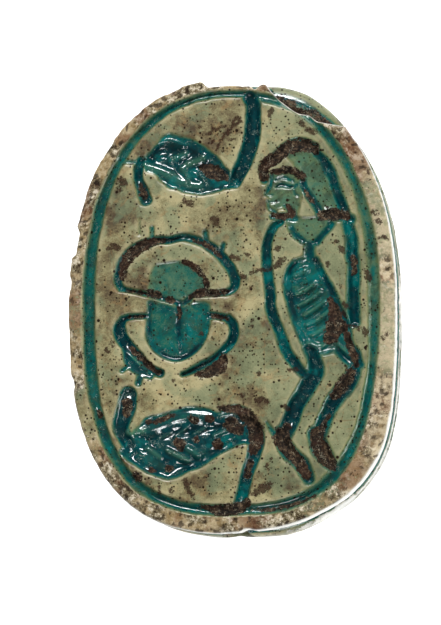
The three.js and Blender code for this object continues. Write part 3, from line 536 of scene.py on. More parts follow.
def frame_line(points):
    """Way in from the frame line's edge, its half width, the angle and the distance outside its middle."""
    x, y = (points - FRAME_AT).T
    angle = np.arctan2(y, x)
    radius = oval_radius(angle, FRAME)
    nudge = 0.01
    turn = (oval_radius(angle + nudge, FRAME) - radius) / nudge / radius
    out = (np.hypot(x, y) - radius) / np.sqrt(1 + turn**2)
    half = round_table(angle, FRAME_WIDTHS) / 2
    return half - abs(out), half, angle, out


def outline(angle):
    return oval_radius(angle) - round_table(angle, LOSS)


def plate_radius(angle):
    """The plate's edge: the outline with its dents, a little ragged, cut short where the corner is lost."""
    radius = outline(angle)
    for degrees, wide, deep in DENTS:
        away = abs((np.degrees(angle) - degrees + 180) % 360 - 180)
        radius = radius - deep * fall(away, wide - DENT_WALL, wide)
    ragged = 0.03 + 0.045 * round_table(angle, RIM_ROUGH)
    ring = on_plan(1, angle, 0 * angle) * MEAN_RADIUS
    radius = radius - ragged * np.clip(NOISE[0].layered(ring, 1.6, 4) - 0.05, 0, 1)
    path, _ = smooth(BREAK, step=0.05)
    shake = NOISE[1].layered(in_space(path), 2.2)
    path = path + CARVING_SHIFT + 0.03 * np.stack([shake, 0 * shake], 1)
    around = np.arctan2(path[:, 1], path[:, 0])[::-1]
    broken = np.interp(angle % (2 * math.pi), around, np.hypot(*path.T)[::-1], left=99, right=99)
    return np.minimum(radius, broken), broken < radius


def carve(points):
    """What the carving and the wear do at points of the base, in the drawing's plan: how deep they lie,
    and how much of each finish and of the painted highlights and light they have."""
    n = len(points)
    flat = in_space(points)
    wobble = np.stack([NOISE[2].layered(flat, 0.9, 4), NOISE[3].layered(flat, 0.9, 4)], 1) * WOBBLE
    warped = points + wobble
    fine = NOISE[4].layered(flat, 3.5, 3)
    slow = NOISE[4].layered(flat, 0.8, 2)
    depth, glaze, sheen_and_pale_rim, pale = (np.zeros(n) for _ in range(4))
    # the glaze's edge is softer towards the worn right
    soft = 0.16 * rise(points[:, 0], 0.5, 5.0)
    edge = 0.018 * fine + 0.04 * NOISE[7].layered(flat, 0.7, 2)

    def sink(near, way_in, deep, wall, level):
        """Lowers the points that lie within an outline and colours their glaze."""
        way_in = way_in + edge[near]
        bowl = 1 - (1 - np.clip((way_in + 0.05) / (wall + 0.05), 0, 1)) ** 2
        new = deep * bowl * rise(way_in, -0.07, 0.03)
        old = depth[near]
        blend = np.clip(BLEND - abs(new - old), 0, None) ** 2 / (4 * BLEND)
        depth[near] = np.maximum(new, old) + blend * (np.minimum(new, old) > 0.01)
        lift(glaze, near, level * rise(way_in, -0.12 - soft[near], 0.17 + 0.3 * soft[near]))
        # a pale band just outside the cut: a painted highlight along its lip
        lift(sheen_and_pale_rim, near, rise(way_in, -0.34, -0.08))

    def cover(strokes, start, end):
        """How much strokes with uneven edges cover each point."""
        covered = np.zeros(n)
        for path, widths in strokes:
            near, way_in, _ = in_stroke(warped, path, widths)
            lift(covered, near, rise(way_in + 0.08 * fine[near], start, end))
        return covered

    for path, deep, wall, level in AREAS:
        near, way_in = in_area(warped, path)
        sink(near, way_in, deep * (1 + AREA_UNEVEN * slow[near]), wall, level)
    for path, widths, deep, level in GOUGES:
        near, way_in, half = in_stroke(warped, path, widths)
        sink(near, way_in, deep * (1 + GOUGE_UNEVEN * slow[near]), np.minimum(GOUGE_WALL, half), level)
    way_in, line_half, angle, out = frame_line(warped)
    line_depth, line_glaze = round_table(angle, FRAME_DEPTH), round_table(angle, FRAME_GLAZE)
    sink(np.full(n, True), way_in, line_depth, FRAME_WALL, line_glaze)

    for path, widths, high, thin in RIBS:
        near, way_in, half = in_stroke(warped, path, widths)
        room = np.maximum(depth[near] - RIB_LEFT, 0)
        depth[near] = depth[near] - np.minimum(high, room) * rise(way_in / half, -0.5, 0.85)
        lift(pale, near, thin * rise(way_in / half, -0.1, 0.8))

    dirt, stain = cover(DIRT, -0.2, 0.16), cover(STAINS, -0.16, 0.1)
    filled = rise(depth, 0.05, 0.15) * dirt
    depth -= filled * (0.25 * depth - 0.02 * fine)

    # the worn rim: sunk a little, pitted and crumbling
    rough = round_table(np.arctan2(points[:, 1], points[:, 0]), RIM_ROUGH)
    rim = rise(out - line_half + 0.05 * fine, 0, 0.15)
    grain = NOISE[5].layered(flat, 2.6, 4)
    pits = np.clip(NOISE[6].layered(flat, 3.4, 3) - 0.14, 0, 1)
    depth += rim * rough * (0.05 + 0.08 * grain + 0.3 * pits)
    # the ground isn't quite flat
    depth += 0.012 * (1 + NOISE[7].layered(flat, 0.5, 2)) + 0.0015 * fine
    return {
        "depth": depth,
        "glaze": glaze,
        # painted highlights along the carving's lips, and paler smooth parts of the rim
        "sheen_and_pale_rim": np.maximum(sheen_and_pale_rim, 0.7 * rim * (1 - rough)),
        # painted light: the rim painted paler towards the right
        "lit_right_rim": rim * rise(points[:, 0], 5.6, 7.4),
        "pale": pale,
        "dirt": dirt,
        "stain": stain,
        "rim": rim * rough,
        "pit": rim * rough * np.clip(pits * 5, 0, 1),
    }


def flaked(points):
    """How far flakes lower the points of the base near its edge."""
    lost = np.zeros(len(points))
    for degrees, along, reach, deep in FLAKES:
        at = math.radians(degrees)
        middle = oval_radius(np.array([at]))[0] * np.array([math.cos(at), math.sin(at)])
        out = middle / np.array([OUTLINE["half"], OUTLINE["head"]]) ** 2
        out /= np.hypot(*out)
        off = points - middle
        away = np.hypot((off @ out) / reach, (off @ np.array([-out[1], out[0]])) / along)
        away = away + 0.25 * NOISE[1].layered(in_space(points), 1.8, 3)
        lost = np.maximum(lost, deep * fall(away, 0.55, 1))
    return lost


# ---- the beetle's back and side ----

# Gouges of the back's right half, which is mirrored: points, widths and depth
BACK = [
    ([(0, 1.75), (3.2, 1.9), (5.6, 2.9), (7, 3.7)], 0.45, 0.25),
    ([(4.3, 2.1), (4.9, 1.2), (5.4, 0)], 0.4, 0.25),
    ([(0, 6.6), (2.6, 6.9), (4.6, 6.4), (6.2, 5.2)], [0.4, 0.5, 0.6], 0.42),
    ([(3.5, 6.9), (3.1, 8.0), (2.5, 9.2), (2.1, 10.4)], [0.9, 1.4, 1.2], 0.6),
    ([(0.2, 8.1), (1.3, 8.3), (2.3, 8.9)], 0.32, 0.25),
    ([(0.55, 9.4), (0.65, 10.4)], 0.35, 0.42),
    ([(1.5, 9.3), (1.75, 10.3)], 0.35, 0.42),
    ([(0, 1.9), (0, -3), (0, -7), (0, -10.4)], [0.35, 0.4, 0.5], 0.25),
]
# Gouges of the side, which are the same at the left and right: (degrees, height) points, widths and depth
LEG_MIDDLE = 5.775
LEG_TOP = 6.65
SIDE = [
    ([(31, LEG_MIDDLE - 0.15), (20, LEG_MIDDLE), (10, LEG_MIDDLE + 0.15)], [0.25, 1.1, 0.3], 0.6),
    ([(2, LEG_MIDDLE + 0.3), (-14, LEG_MIDDLE + 0.1), (-38, LEG_MIDDLE - 0.1), (-62, LEG_MIDDLE)],
     [0.25, 0.6, 0.6, 0.25], 0.5),
    ([(35, LEG_MIDDLE - 0.2), (44, LEG_MIDDLE), (53, LEG_MIDDLE + 0.1)], [0.2, 0.5, 0.3], 0.4),
] + [([(at, LEG_TOP + 0.1), (at + 1.5, LEG_MIDDLE + 0.4)], 0.25, 0.25) for at in (38, 42, 46, 50)]
DEGREE = 0.16  # the length of a degree round the side


def dome_height(share):
    up = np.clip((share - CROWN) / (DOME - CROWN), 0, 1)
    return DOME_Z * (1 - np.sqrt(1 - up**2))


def lines_at(points, lines):
    """How deep and how glazed points are under a set of gouges."""
    depth, glaze = np.zeros(len(points)), np.zeros(len(points))
    for path, widths, deep in lines:
        near, way_in, half = in_stroke(points, path, widths)
        lift(depth, near, deep * rise(way_in, -0.08, half * 0.9))
        lift(glaze, near, rise(way_in, -0.15, 0.15))
    return depth, glaze


def back_lines(points):
    return lines_at(np.stack([abs(points[:, 0]), points[:, 1]], 1), BACK)


def side_lines(angle, z):
    degrees = (np.degrees(angle) + 180) % 360 - 180
    folded = np.where(abs(degrees) > 90, np.sign(degrees) * 180 - degrees, degrees)
    scaled = [([(at * DEGREE, high) for at, high in path], widths, deep) for path, widths, deep in SIDE]
    return lines_at(np.stack([folded * DEGREE, z], 1), scaled)


# ---- the mesh: a grid over the base, rings down the side and a coarser grid over the back ----

ACROSS, ALONG = 206, 282  # cells; the back has half as many
CORNER = math.radians(54)
# Cells crowd towards the edge by these shares
BASE_CROWDING, BACK_CROWDING = 0.06, 0.25
PLATE_RINGS = 8
BEVEL, BROKEN_BEVEL = 0.2, 0.06


def grid_on_oval(across, along, crowding):
    """A grid stretched onto a disc, as shares of its radius and angles. Its corners lie at CORNER."""
    v, u = np.meshgrid(np.linspace(-1, 1, along + 1), np.linspace(-1, 1, across + 1), indexing="ij")
    share = np.maximum(abs(u), abs(v)).ravel()
    with np.errstate(divide="ignore", invalid="ignore"):
        sideways = np.where(u > 0, 0, math.pi) + CORNER * v / u
        upright = np.where(v > 0, 0.5, 1.5) * math.pi - (math.pi / 2 - CORNER) * u / v
    angle = np.where(abs(u) >= abs(v), sideways, upright).ravel()
    return share * (1 + crowding * (1 - share**2)), np.where(share > 0, angle, 0)


def grid_numbers(across, along):
    return np.arange((along + 1) * (across + 1)).reshape(along + 1, across + 1)


def grid_faces(across, along):
    first = grid_numbers(across, along)
    return np.stack([first[:-1, :-1], first[:-1, 1:], first[1:, 1:], first[1:, :-1]], -1).reshape(-1, 4)


def grid_edge(across, along):
    """The grid's edge points, anticlockwise from its lower right corner."""
    first = grid_numbers(across, along)
    return np.concatenate([first[:-1, -1], first[-1, :0:-1], first[:0:-1, 0], first[0, :-1]])


def ring_faces(upper, lower):
    """Faces between two rings of the same count, the upper one first."""
    return np.stack([upper, lower, np.roll(lower, -1), np.roll(upper, -1)], 1)


def build_base():
    """The base's points, and its edge: the numbers of the edge points, their angles and the plate's
    radius there, and where the corner is lost."""
    share, angle = grid_on_oval(ACROSS, ALONG, BASE_CROWDING)
    radius, broken = plate_radius(angle)
    plan = on_plan(radius * share, angle, 0 * angle)[:, :2]
    bevel = np.where(broken, BROKEN_BEVEL, BEVEL + 0.12 * NOISE[1].layered(in_space(plan), 1.2, 3))
    near_edge = np.clip(1 - radius * (1 - share) / bevel, 0, 1)
    # the bevel stops a little short of upright
    drop = bevel * (1 - np.sqrt(1 - near_edge**2 * 0.98))
    z = HEIGHT - carve(plan - CARVING_SHIFT)["depth"] - drop - flaked(plan)
    edge = grid_edge(ACROSS, ALONG)
    return np.column_stack([plan, np.minimum(z, HEIGHT)]), edge, angle[edge], radius[edge], broken[edge]


def build_back():
    """The back's points: the dome, less its gouges and wear."""
    share, angle = grid_on_oval(ACROSS // 2, ALONG // 2, BACK_CROWDING)
    share = share / share.max() * DOME
    dome = on_plan(outline(angle) * share, angle, dome_height(share))
    x, y, step = dome[:, 0], dome[:, 1], 0.05

    def height_at(x, y):
        return dome_height(np.hypot(x, y) / outline(np.arctan2(y, x)))

    slope_x = (height_at(x + step, y) - height_at(x - step, y)) / (2 * step)
    slope_y = (height_at(x, y + step) - height_at(x, y - step)) / (2 * step)
    inward = np.stack([-slope_x, -slope_y, np.ones(len(dome))], 1)
    inward /= np.linalg.norm(inward, axis=1)[:, None]
    deep, _ = back_lines(dome[:, :2])
    worn = 0.05 * np.clip(NOISE[3].layered(dome, 0.6, 4) + 0.2, 0, 1)
    return dome + inward * ((deep + worn) * fall(share, DOME - 0.03, DOME))[:, None]


def build_mesh():
    base, edge, around, rim, lost = build_base()
    points, faces = [base], [grid_faces(ACROSS, ALONG)]
    count, upper = len(base), edge

    def add_ring(radius, angle, z):
        nonlocal count
        points.append(on_plan(radius, angle, z))
        count += len(angle)
        return np.arange(count - len(angle), count)

    # the plate's side, a little rough, then under it into the groove
    full, top = outline(around), base[edge, 2]
    for step in np.linspace(0.14, 1, PLATE_RINGS):
        z = top + (PLATE_Z - top) * step
        surface = on_plan(full, around, z)
        rough = 0.05 * (NOISE[0].layered(surface, 1.3, 3) + 0.4)
        out = np.minimum(rim, full) - np.clip(rough, 0, 1) * np.sin(step * math.pi) - 0.05 * step
        ring = add_ring(np.where(lost, rim + 0.02 * NOISE[1].layered(surface, 2, 3), out), around, z)
        faces.append(ring_faces(upper, ring))
        upper = ring
    for share, z in UNDER_PLATE:
        ring = add_ring(np.minimum(full * share, rim), around, np.full(len(around), z))
        faces.append(ring_faces(upper, ring))
        upper = ring

    # from here down there are half as many points round
    half = around[::2]
    full, reach = outline(half), round_table(half, LEG_REACH)
    for index, (share, z) in enumerate(LEG_BAND):
        height = np.full(len(half), z)
        deep, _ = side_lines(half, height)
        worn = 0.03 * np.clip(NOISE[2].layered(on_plan(full, half, height), 0.9, 3) + 0.3, 0, 1)
        slack = rise(share, 0.9, 0.98)
        ring = add_ring(full * share + (reach - deep - worn) * slack, half, height)
        if index:
            faces.append(ring_faces(upper, ring))
        else:
            even, odd, after = upper[::2], upper[1::2], np.roll(ring, -1)
            triangles = [(even, ring, odd), (odd, ring, after), (odd, after, np.roll(even, -1))]
            faces.append(np.concatenate([np.stack([a, b, c, c], 1) for a, b, c in triangles]))
        upper = ring

    # the back, whose edge is the last ring
    back = build_back()
    last = grid_edge(ACROSS // 2, ALONG // 2)
    inner = np.setdiff1d(np.arange(len(back)), last)
    numbers = np.zeros(len(back), int)
    numbers[last] = upper
    numbers[inner] = count + np.arange(len(inner))
    points.append(back[inner])
    faces.append(numbers[grid_faces(ACROSS // 2, ALONG // 2)][:, ::-1])
    return np.vstack(points) + (*MIDDLE, 0), np.vstack(faces)


def add_object(name, data):
    made = bpy.data.objects.new(name, data)
    bpy.context.scene.collection.objects.link(made)
    return made


def to_object(name, points, faces):
    """Faces are rows of four corners; a row whose last two are the same is a triangle."""
    mesh = bpy.data.meshes.new(name)
    counts = np.where(faces[:, 2] == faces[:, 3], 3, 4)
    corners = faces[np.arange(4) < counts[:, None]]
    mesh.vertices.add(len(points))
    mesh.vertices.foreach_set("co", (points * MM).ravel())
    mesh.loops.add(len(corners))
    mesh.loops.foreach_set("vertex_index", corners)
    mesh.polygons.add(len(faces))
    mesh.polygons.foreach_set("loop_start", np.concatenate([[0], np.cumsum(counts)[:-1]]))
    mesh.polygons.foreach_set("loop_total", counts)
    mesh.update(calc_edges=True)
    mesh.validate()
    return add_object(name, mesh)


def bore_cutter():
    """The bore from head to tail, which widens in worn lips at both ends."""
    sides = 40
    mouth = np.linspace(9.4, 12.5, 10)
    at = np.concatenate([-mouth[::-1], np.linspace(-8.5, 8.5, 12), mouth])
    angle = np.linspace(0, 2 * math.pi, sides, endpoint=False)
    points, faces = [], []
    for index, y in enumerate(at):
        ring = np.stack([np.cos(angle), np.full(sides, y), np.sin(angle)], 1)
        radius = BORE_RADIUS + BORE_LIP * rise(abs(y), *BORE_LIP_Y) + 0.03 * NOISE[4].layered(ring, 1.1, 3)
        points.append(np.stack([ring[:, 0] * radius, ring[:, 1], BORE_Z + ring[:, 2] * radius], 1))
        if index:
            here = np.arange(sides) + sides * index
            faces.append(ring_faces(here - sides, here))
    low, high = sides * len(at), sides * len(at) + 1
    points.append(np.array([[0, y, BORE_Z] for y in (at[0], at[-1])]))
    ring = np.arange(sides)
    faces.append(np.stack([np.full(sides, low), ring, np.roll(ring, -1), np.roll(ring, -1)], 1))
    ring = ring + sides * (len(at) - 1)
    faces.append(np.stack([np.full(sides, high), np.roll(ring, -1), ring, ring], 1))
    return to_object("bore_cutter", np.vstack(points), np.vstack(faces))


def cut(piece, cutter):
    modifier = piece.modifiers.new("bore", "BOOLEAN")
    modifier.operation = "DIFFERENCE"
    modifier.solver = "MANIFOLD"
    modifier.object = cutter
    bpy.context.view_layer.update()
    result = bpy.data.meshes.new_from_object(piece.evaluated_get(bpy.context.evaluated_depsgraph_get()))
    piece.modifiers.clear()
    piece.data = result
    bpy.data.objects.remove(cutter)


# Heights over which one part of the surface passes into the next
BASE_Z = (8.3, 8.6)
UNDERSIDE_Z = (7.2, 7.45)
BREAK_Z = (6.9, 7.2)
GROOVE_Z = (6.36, 6.42)
EAVES_Z = (4.3, 4.5)
BACK_Z = (4.3, 4.45)
GLOW_FACING = math.radians(-28)  # the side facing this way is painted near white, as if in strong light


def paint(piece):
    """Writes what the material reads at every vertex: how much it has of each finish and of painted light."""
    mesh = piece.data
    points = np.empty(len(mesh.vertices) * 3)
    mesh.vertices.foreach_get("co", points)
    points = points.reshape(-1, 3) / MM - (*MIDDLE, 0)
    plan, z = points[:, :2], points[:, 2]
    angle, distance = np.arctan2(plan[:, 1], plan[:, 0]), np.hypot(*plan.T)
    radius, broken = plate_radius(angle)
    full = outline(angle)
    share = distance / full
    made = carve(plan - CARVING_SHIFT)
    # the base face, down to its edge
    base = rise(z, *BASE_Z) * rise(radius - distance, -0.02, 0.08)
    above = rise(z, *UNDERSIDE_Z)
    side = above * (1 - base) * ~broken
    fracture = rise(z, *BREAK_Z) * (1 - base) * broken
    legs, back = side_lines(angle, z), back_lines(plan)
    groove = fall(share, 0.985, 0.998) * rise(z, *GROOVE_Z) * (1 - above)
    eaves = fall(share, 0.93, 0.97) * rise(z, *EAVES_Z) * fall(z, 4.9, 5.0)
    on_back = fall(z, *BACK_Z)
    on_legs = (1 - above) * (1 - on_back)
    glaze = base * made["glaze"] + on_legs * np.maximum(np.maximum(groove, eaves * 0.9), legs[1] * 0.9)
    glaze += on_back * back[1] * 0.9
    # painted light: the plate's side and the leg band facing the lower right are painted near white, as if in
    # strong light
    facing = np.cos(angle - GLOW_FACING)
    lit_leg_band = on_legs * rise(facing, 0.5, 0.85) * (1 - rise(glaze, 0.1, 0.5))
    white = side * rise(facing, -0.3, 0.2)
    # dirt fills the groove that the break opens
    opened = on_legs * fall(radius - full, -0.12, -0.02) * broken
    glaze = np.where(opened > 0.5, 0.9 * rise(share, 0.93, 0.955) * fall(share, 0.97, 0.99), glaze)
    packed = opened * fall(share, 0.955, 0.978)
    fields = {name: base * made[name] for name in ("sheen_and_pale_rim", "lit_right_rim", "pale", "stain", "pit")}
    fields["glaze"] = glaze
    fields["dirt"] = base * made["dirt"] + packed
    # pale stone on the side and the break, painted near white toward the lower right and on the break:
    # painted light
    fields["rim"] = base * made["rim"] + 0.75 * side + 0.8 * lit_leg_band + fracture
    fields["side"] = 0.15 * side + white + lit_leg_band + 0.7 * fracture
    fields["greener"] = rise(plan[:, 0], 0.5, 4)
    for name, values in fields.items():
        layer = mesh.attributes.new(name, "FLOAT", "POINT")
        layer.data.foreach_set("value", np.clip(values, 0, 1).astype(np.float32))


# ---- the material ----


def colour(*values):
    """A colour from its red, green and blue on screen, 0 to 255."""
    return tuple(v / 255 / 12.92 if v < 10 else ((v / 255 + 0.055) / 1.055) ** 2.4 for v in values) + (1,)


class Nodes:
    """Short ways to make the nodes of one material."""

    def __init__(self, name):
        self.material = bpy.data.materials.new(name)
        self.material.use_nodes = True
        self.tree = self.material.node_tree
        self.shader = self.tree.nodes["Principled BSDF"]
        coordinates = self.tree.nodes.new("ShaderNodeTexCoord")
        self.place = self.node("ShaderNodeVectorMath", {0: coordinates.outputs["Object"], "Scale": 1 / MM},
                               operation="SCALE").outputs[0]

    def fill(self, node, inputs):
        """Sets a node's inputs, or links them where the value is another node's output."""
        for name, value in inputs.items():
            if isinstance(value, bpy.types.NodeSocket):
                self.tree.links.new(value, node.inputs[name])
            else:
                node.inputs[name].default_value = value
        return node

    def node(self, kind, inputs, **settings):
        made = self.tree.nodes.new(kind)
        for name, value in settings.items():
            setattr(made, name, value)
        return self.fill(made, inputs)

    def math(self, operation, *values):
        """The values combined one after another, as in a sum."""
        def pair(a, b):
            return self.node("ShaderNodeMath", {0: a, 1: b}, operation=operation).outputs[0]
        return functools.reduce(pair, values)

    def times(self, *values):
        return self.math("MULTIPLY", *values)

    def total(self, *values):
        return self.math("ADD", *values)

    def most(self, *values):
        return self.math("MAXIMUM", *values)

    def around(self, value, amount):
        """A noise as a value about 0."""
        return self.times(self.math("SUBTRACT", value, 0.5), amount)

    def fit(self, value, low, high, to_low=0.0, to_high=1.0):
        """The value's range from low to high, turned smoothly into another range and held there."""
        ranges = {"Value": value, "From Min": low, "From Max": high, "To Min": to_low, "To Max": to_high}
        return self.node("ShaderNodeMapRange", ranges, interpolation_type="SMOOTHSTEP").outputs["Result"]

    def attribute(self, name):
        return self.node("ShaderNodeAttribute", {}, attribute_name=name).outputs["Fac"]

    def moved(self, offset, y, z):
        """The place moved along, so that noises of one kind differ."""
        by = (offset, offset * y, offset * z)
        return self.node("ShaderNodeVectorMath", {0: self.place, 1: by}, operation="ADD").outputs[0]

    def noise(self, scale, detail, roughness=0.55, offset=0.0, distortion=0.0):
        return self.node("ShaderNodeTexNoise", {
            "Vector": self.moved(offset, 0.7, 1.3), "Scale": scale, "Detail": detail,
            "Roughness": roughness, "Distortion": distortion}).outputs["Fac"]

    def cells(self, scale, offset, feature="F1"):
        inputs = {"Vector": self.moved(offset, 1.7, 0.6), "Scale": scale}
        return self.node("ShaderNodeTexVoronoi", inputs, feature=feature).outputs

    def mix(self, amount, a, b):
        # a colour mix keeps its factor and colours in these inputs and its result in output 2
        return self.node("ShaderNodeMix", {0: amount, 6: a, 7: b}, data_type="RGBA").outputs[2]

    def tint(self, base, shade, *amounts):
        return self.mix(self.times(*amounts), base, colour(*shade))

    def ramp(self, value, *stops):
        """A colour for each value, through stops of a place and a red, green and blue."""
        made = self.node("ShaderNodeValToRGB", {0: value})
        elements = made.color_ramp.elements
        while len(elements) < len(stops):
            elements.new(1)
        for element, (at, *shade) in zip(elements, stops):
            element.position = at
            element.color = colour(*shade)
        return made.outputs["Color"]

    def specks(self, scale, size, offset, clusters, above):
        """Round spots of random sizes, one in a cell, where a slow noise says that there are any."""
        cells = self.cells(scale, offset)
        size_here = self.fit(cells["Color"], 0.3, 0.75, 0.25 * size, size)
        spot = self.fit(cells["Distance"], self.times(size_here, 0.55), size_here, 1.0, 0.0)
        return self.times(spot, self.fit(self.noise(clusters, 2.0, offset=offset + 3), above, above + 0.12))


def scarab_material():
    n = Nodes("glazed_steatite")
    glaze, dirt, stain, rim, sheen_and_pale_rim, pale, pit, side, lit_right_rim, greener = (
        n.attribute(name) for name in
        ("glaze", "dirt", "stain", "rim", "sheen_and_pale_rim", "pale", "pit", "side", "lit_right_rim", "greener"))
    fine = n.noise(14, 4, 0.65)
    middle = n.noise(3.2, 5, 0.65, 5)
    slow = n.noise(1.1, 5, 0.62, 15)
    broad = n.noise(0.4, 4, 0.55, 9)

    # the ground: olive cream, clouded with tan, brown and green, with painted highlights along the carving's
    # lips
    cloud = n.total(n.around(broad, 1.5), n.around(slow, 0.9), n.around(middle, 0.7), n.around(fine, 0.6),
                    0.52)
    ground = n.ramp(cloud, (0.22, 70, 56, 36), (0.37, 98, 86, 57), (0.5, 124, 117, 81), (0.63, 147, 140, 101),
                    (0.8, 172, 162, 120))
    green = n.total(n.noise(0.62, 4, 0.6, 21, 0.5), n.around(middle, 0.3), n.times(greener, 0.2))
    ground = n.tint(ground, (106, 123, 92), n.fit(green, 0.46, 0.62), 0.55)
    ground = n.tint(ground, (146, 114, 70), n.fit(n.noise(1.5, 6, 0.72, 33, 0.8), 0.53, 0.66), 0.45)
    ground = n.tint(ground, (72, 58, 40), n.fit(n.noise(2.6, 6, 0.74, 37, 0.5), 0.55, 0.7), 0.3)
    # painted highlight beside the carving, and the paler smooth rim
    ground = n.tint(ground, (176, 168, 130), sheen_and_pale_rim, n.fit(slow, 0.4, 0.6, 0.05, 0.5))

    # faint cracks in the glaze
    crack = n.fit(n.cells(0.55, 4, "DISTANCE_TO_EDGE")["Distance"], 0.0, 0.014, 1.0, 0.0)
    ground = n.tint(ground, (112, 88, 52), crack, n.fit(n.noise(0.5, 2, 0.5, 14), 0.46, 0.56), 0.5)

    # the glaze: thin and green at its edges, bright and then deep teal where it is thick
    present = n.fit(glaze, 0.02, 0.25)
    uneven = n.total(n.around(slow, 0.7), n.around(middle, 0.7), n.around(fine, 0.3))
    thick = n.total(glaze, n.times(present, n.fit(glaze, 0.3, 0.8, 0.55, 1.0), uneven))
    deep = n.ramp(thick, (0.1, 118, 116, 70), (0.26, 88, 104, 64), (0.42, 76, 109, 85), (0.6, 16, 88, 78),
                  (0.8, 0, 62, 66), (1.0, 0, 42, 48))
    deep = n.tint(deep, (74, 124, 96), pale, 0.6)
    vivid = n.fit(n.total(n.noise(0.75, 4, 0.6, 47), n.around(middle, 0.3)), 0.5, 0.7)
    deep = n.tint(deep, (0, 122, 118), vivid, n.fit(thick, 0.5, 0.75), 0.6)
    murk = n.fit(n.total(n.noise(1.3, 5, 0.7, 44, 0.6), n.around(fine, 0.2)), 0.48, 0.62)
    deep = n.tint(deep, (50, 62, 46), murk, n.fit(thick, 0.5, 0.95, 0.6, 0.15))
    shade = n.mix(n.fit(thick, 0.04, 0.34), ground, deep)

    # dark specks on all of it, and pale dust and fibres in the glaze, whose pale specks are partly painted
    # glints
    dark = n.most(n.specks(6, 0.36, 2, 0.7, 0.4), n.specks(4.2, 0.32, 6, 0.9, 0.4),
                  n.specks(2.1, 0.22, 11, 0.6, 0.4), n.fit(n.noise(9, 5, 0.75, 13), 0.64, 0.68))
    dark = n.times(dark, n.fit(thick, 0.5, 0.9, 1, 0.3))
    shade = n.tint(shade, (30, 19, 10), dark)
    line = n.math("ABSOLUTE", n.around(n.noise(6, 2, 0.4, 81, 1.5), 1.0), 0)
    thread = n.times(n.fit(line, 0.005, 0.018, 1.0, 0.0), n.fit(n.noise(3, 2, 0.5, 85), 0.54, 0.6))
    dust_and_glints = n.most(n.times(n.specks(7, 0.25, 17, 1.2, 0.5), 0.6), n.times(thread, 0.9))
    in_glaze = n.fit(thick, 0.45, 0.85)
    # pale specks: dust, partly painted glints
    shade = n.tint(shade, (180, 200, 184), dust_and_glints, in_glaze, 0.65)

    # the worn rim, where the glaze is lost and the stone shows; the side is painted near white as if lit
    grain = n.total(n.around(n.noise(1.3, 5, 0.7, 50), 2.0), n.around(n.noise(4.2, 6, 0.78, 55), 2.2),
                    n.around(fine, 0.9), 0.52)
    stone = n.ramp(grain, (0.18, 36, 28, 21), (0.34, 80, 68, 50), (0.48, 116, 106, 80), (0.62, 154, 142, 114),
                   (0.8, 212, 202, 180))
    smooth_stone = n.mix(n.fit(middle, 0.4, 0.62), colour(146, 124, 84), colour(186, 168, 132))
    stone = n.mix(n.fit(n.noise(0.7, 4, 0.6, 64), 0.47, 0.58, 0.0, 0.75), stone, smooth_stone)
    stone = n.tint(stone, (112, 72, 50), n.fit(n.noise(0.6, 4, 0.6, 60), 0.48, 0.6), 0.55)
    # painted light: the side's stone turned near white, as if in strong light
    painted_glow = n.ramp(middle, (0.35, 218, 220, 214), (0.65, 242, 243, 240))
    stone = n.mix(n.times(side, 0.92), stone, painted_glow)
    worn = n.fit(n.total(rim, n.around(middle, 1.6), n.around(fine, 0.8)), 0.3, 0.55)
    shade = n.mix(worn, shade, stone)
    # painted light: the rim paler towards the right
    shade = n.tint(shade, (200, 184, 152), lit_right_rim, n.fit(middle, 0.4, 0.6, 0.15, 0.8))
    hole = n.times(n.specks(4.6, 0.3, 23, 1.0, 0.44), n.fit(side, 0, 0.5, 1, 0))
    hole = n.most(n.fit(pit, 0.15, 0.6), hole)
    shade = n.tint(shade, (52, 41, 32), hole, n.fit(rim, 0.2, 0.6), 0.75)

    # brown dirt with pale fibres, and stains that break up into specks
    torn = n.total(n.around(n.noise(4, 6, 0.75, 70), 2.2), n.around(fine, 0.8))
    in_dirt = n.fit(n.total(dirt, n.times(n.fit(dirt, 0.05, 0.4), torn)), 0.42, 0.6)
    spotted = n.total(n.around(n.noise(5, 6, 0.8, 73), 4.0), n.around(fine, 1.0))
    in_stain = n.fit(n.total(stain, n.times(n.fit(stain, 0.05, 0.4), spotted)), 0.6, 0.7)
    earth = n.total(n.around(n.noise(9, 6, 0.8, 75), 2.2), n.around(middle, 1.4), 0.46)
    earth = n.ramp(earth, (0.2, 10, 8, 6), (0.42, 32, 25, 18), (0.6, 62, 49, 38), (0.82, 112, 94, 72))
    earth = n.tint(earth, (72, 46, 34), n.fit(slow, 0.5, 0.6), 0.3)
    earth = n.tint(earth, (200, 190, 162), thread, 0.9)
    shade = n.mix(in_dirt, shade, earth)
    spots = n.mix(n.fit(fine, 0.35, 0.65), colour(24, 14, 11), colour(66, 44, 36))
    shade = n.mix(n.times(in_stain, 0.85), shade, spots)

    # gloss: glaze shines, dirt and stone don't
    matt = n.most(in_dirt, in_stain, worn)
    roughness = n.total(n.fit(thick, 0.2, 0.6, 0.36, 0.1), n.times(matt, 0.5), n.around(fine, 0.12))

    # fine relief: grain on stone and dirt, ripples and dust, with its painted glints, in the glaze
    coarse = n.times(n.noise(11, 5, 0.65, 90), n.fit(matt, 0.0, 1.0, 0.1, 1.0))
    ripple = n.times(n.noise(2.2, 2, 0.5, 95), n.fit(thick, 0.3, 0.7), 0.16)
    relief = n.total(coarse, ripple, n.times(dust_and_glints, in_glaze, 0.2), n.times(thread, in_dirt, 0.4))
    bump = n.node("ShaderNodeBump", {"Strength": 0.7, "Distance": 0.05 * MM, "Height": relief})
    n.fill(n.shader, {
        "Base Color": shade,
        "Roughness": roughness,
        "Specular IOR Level": n.fit(n.most(matt, dark), 0, 1, 0.5, 0.1),
        "IOR": 1.52,
        "Normal": bump.outputs["Normal"],
    })
    return n.material


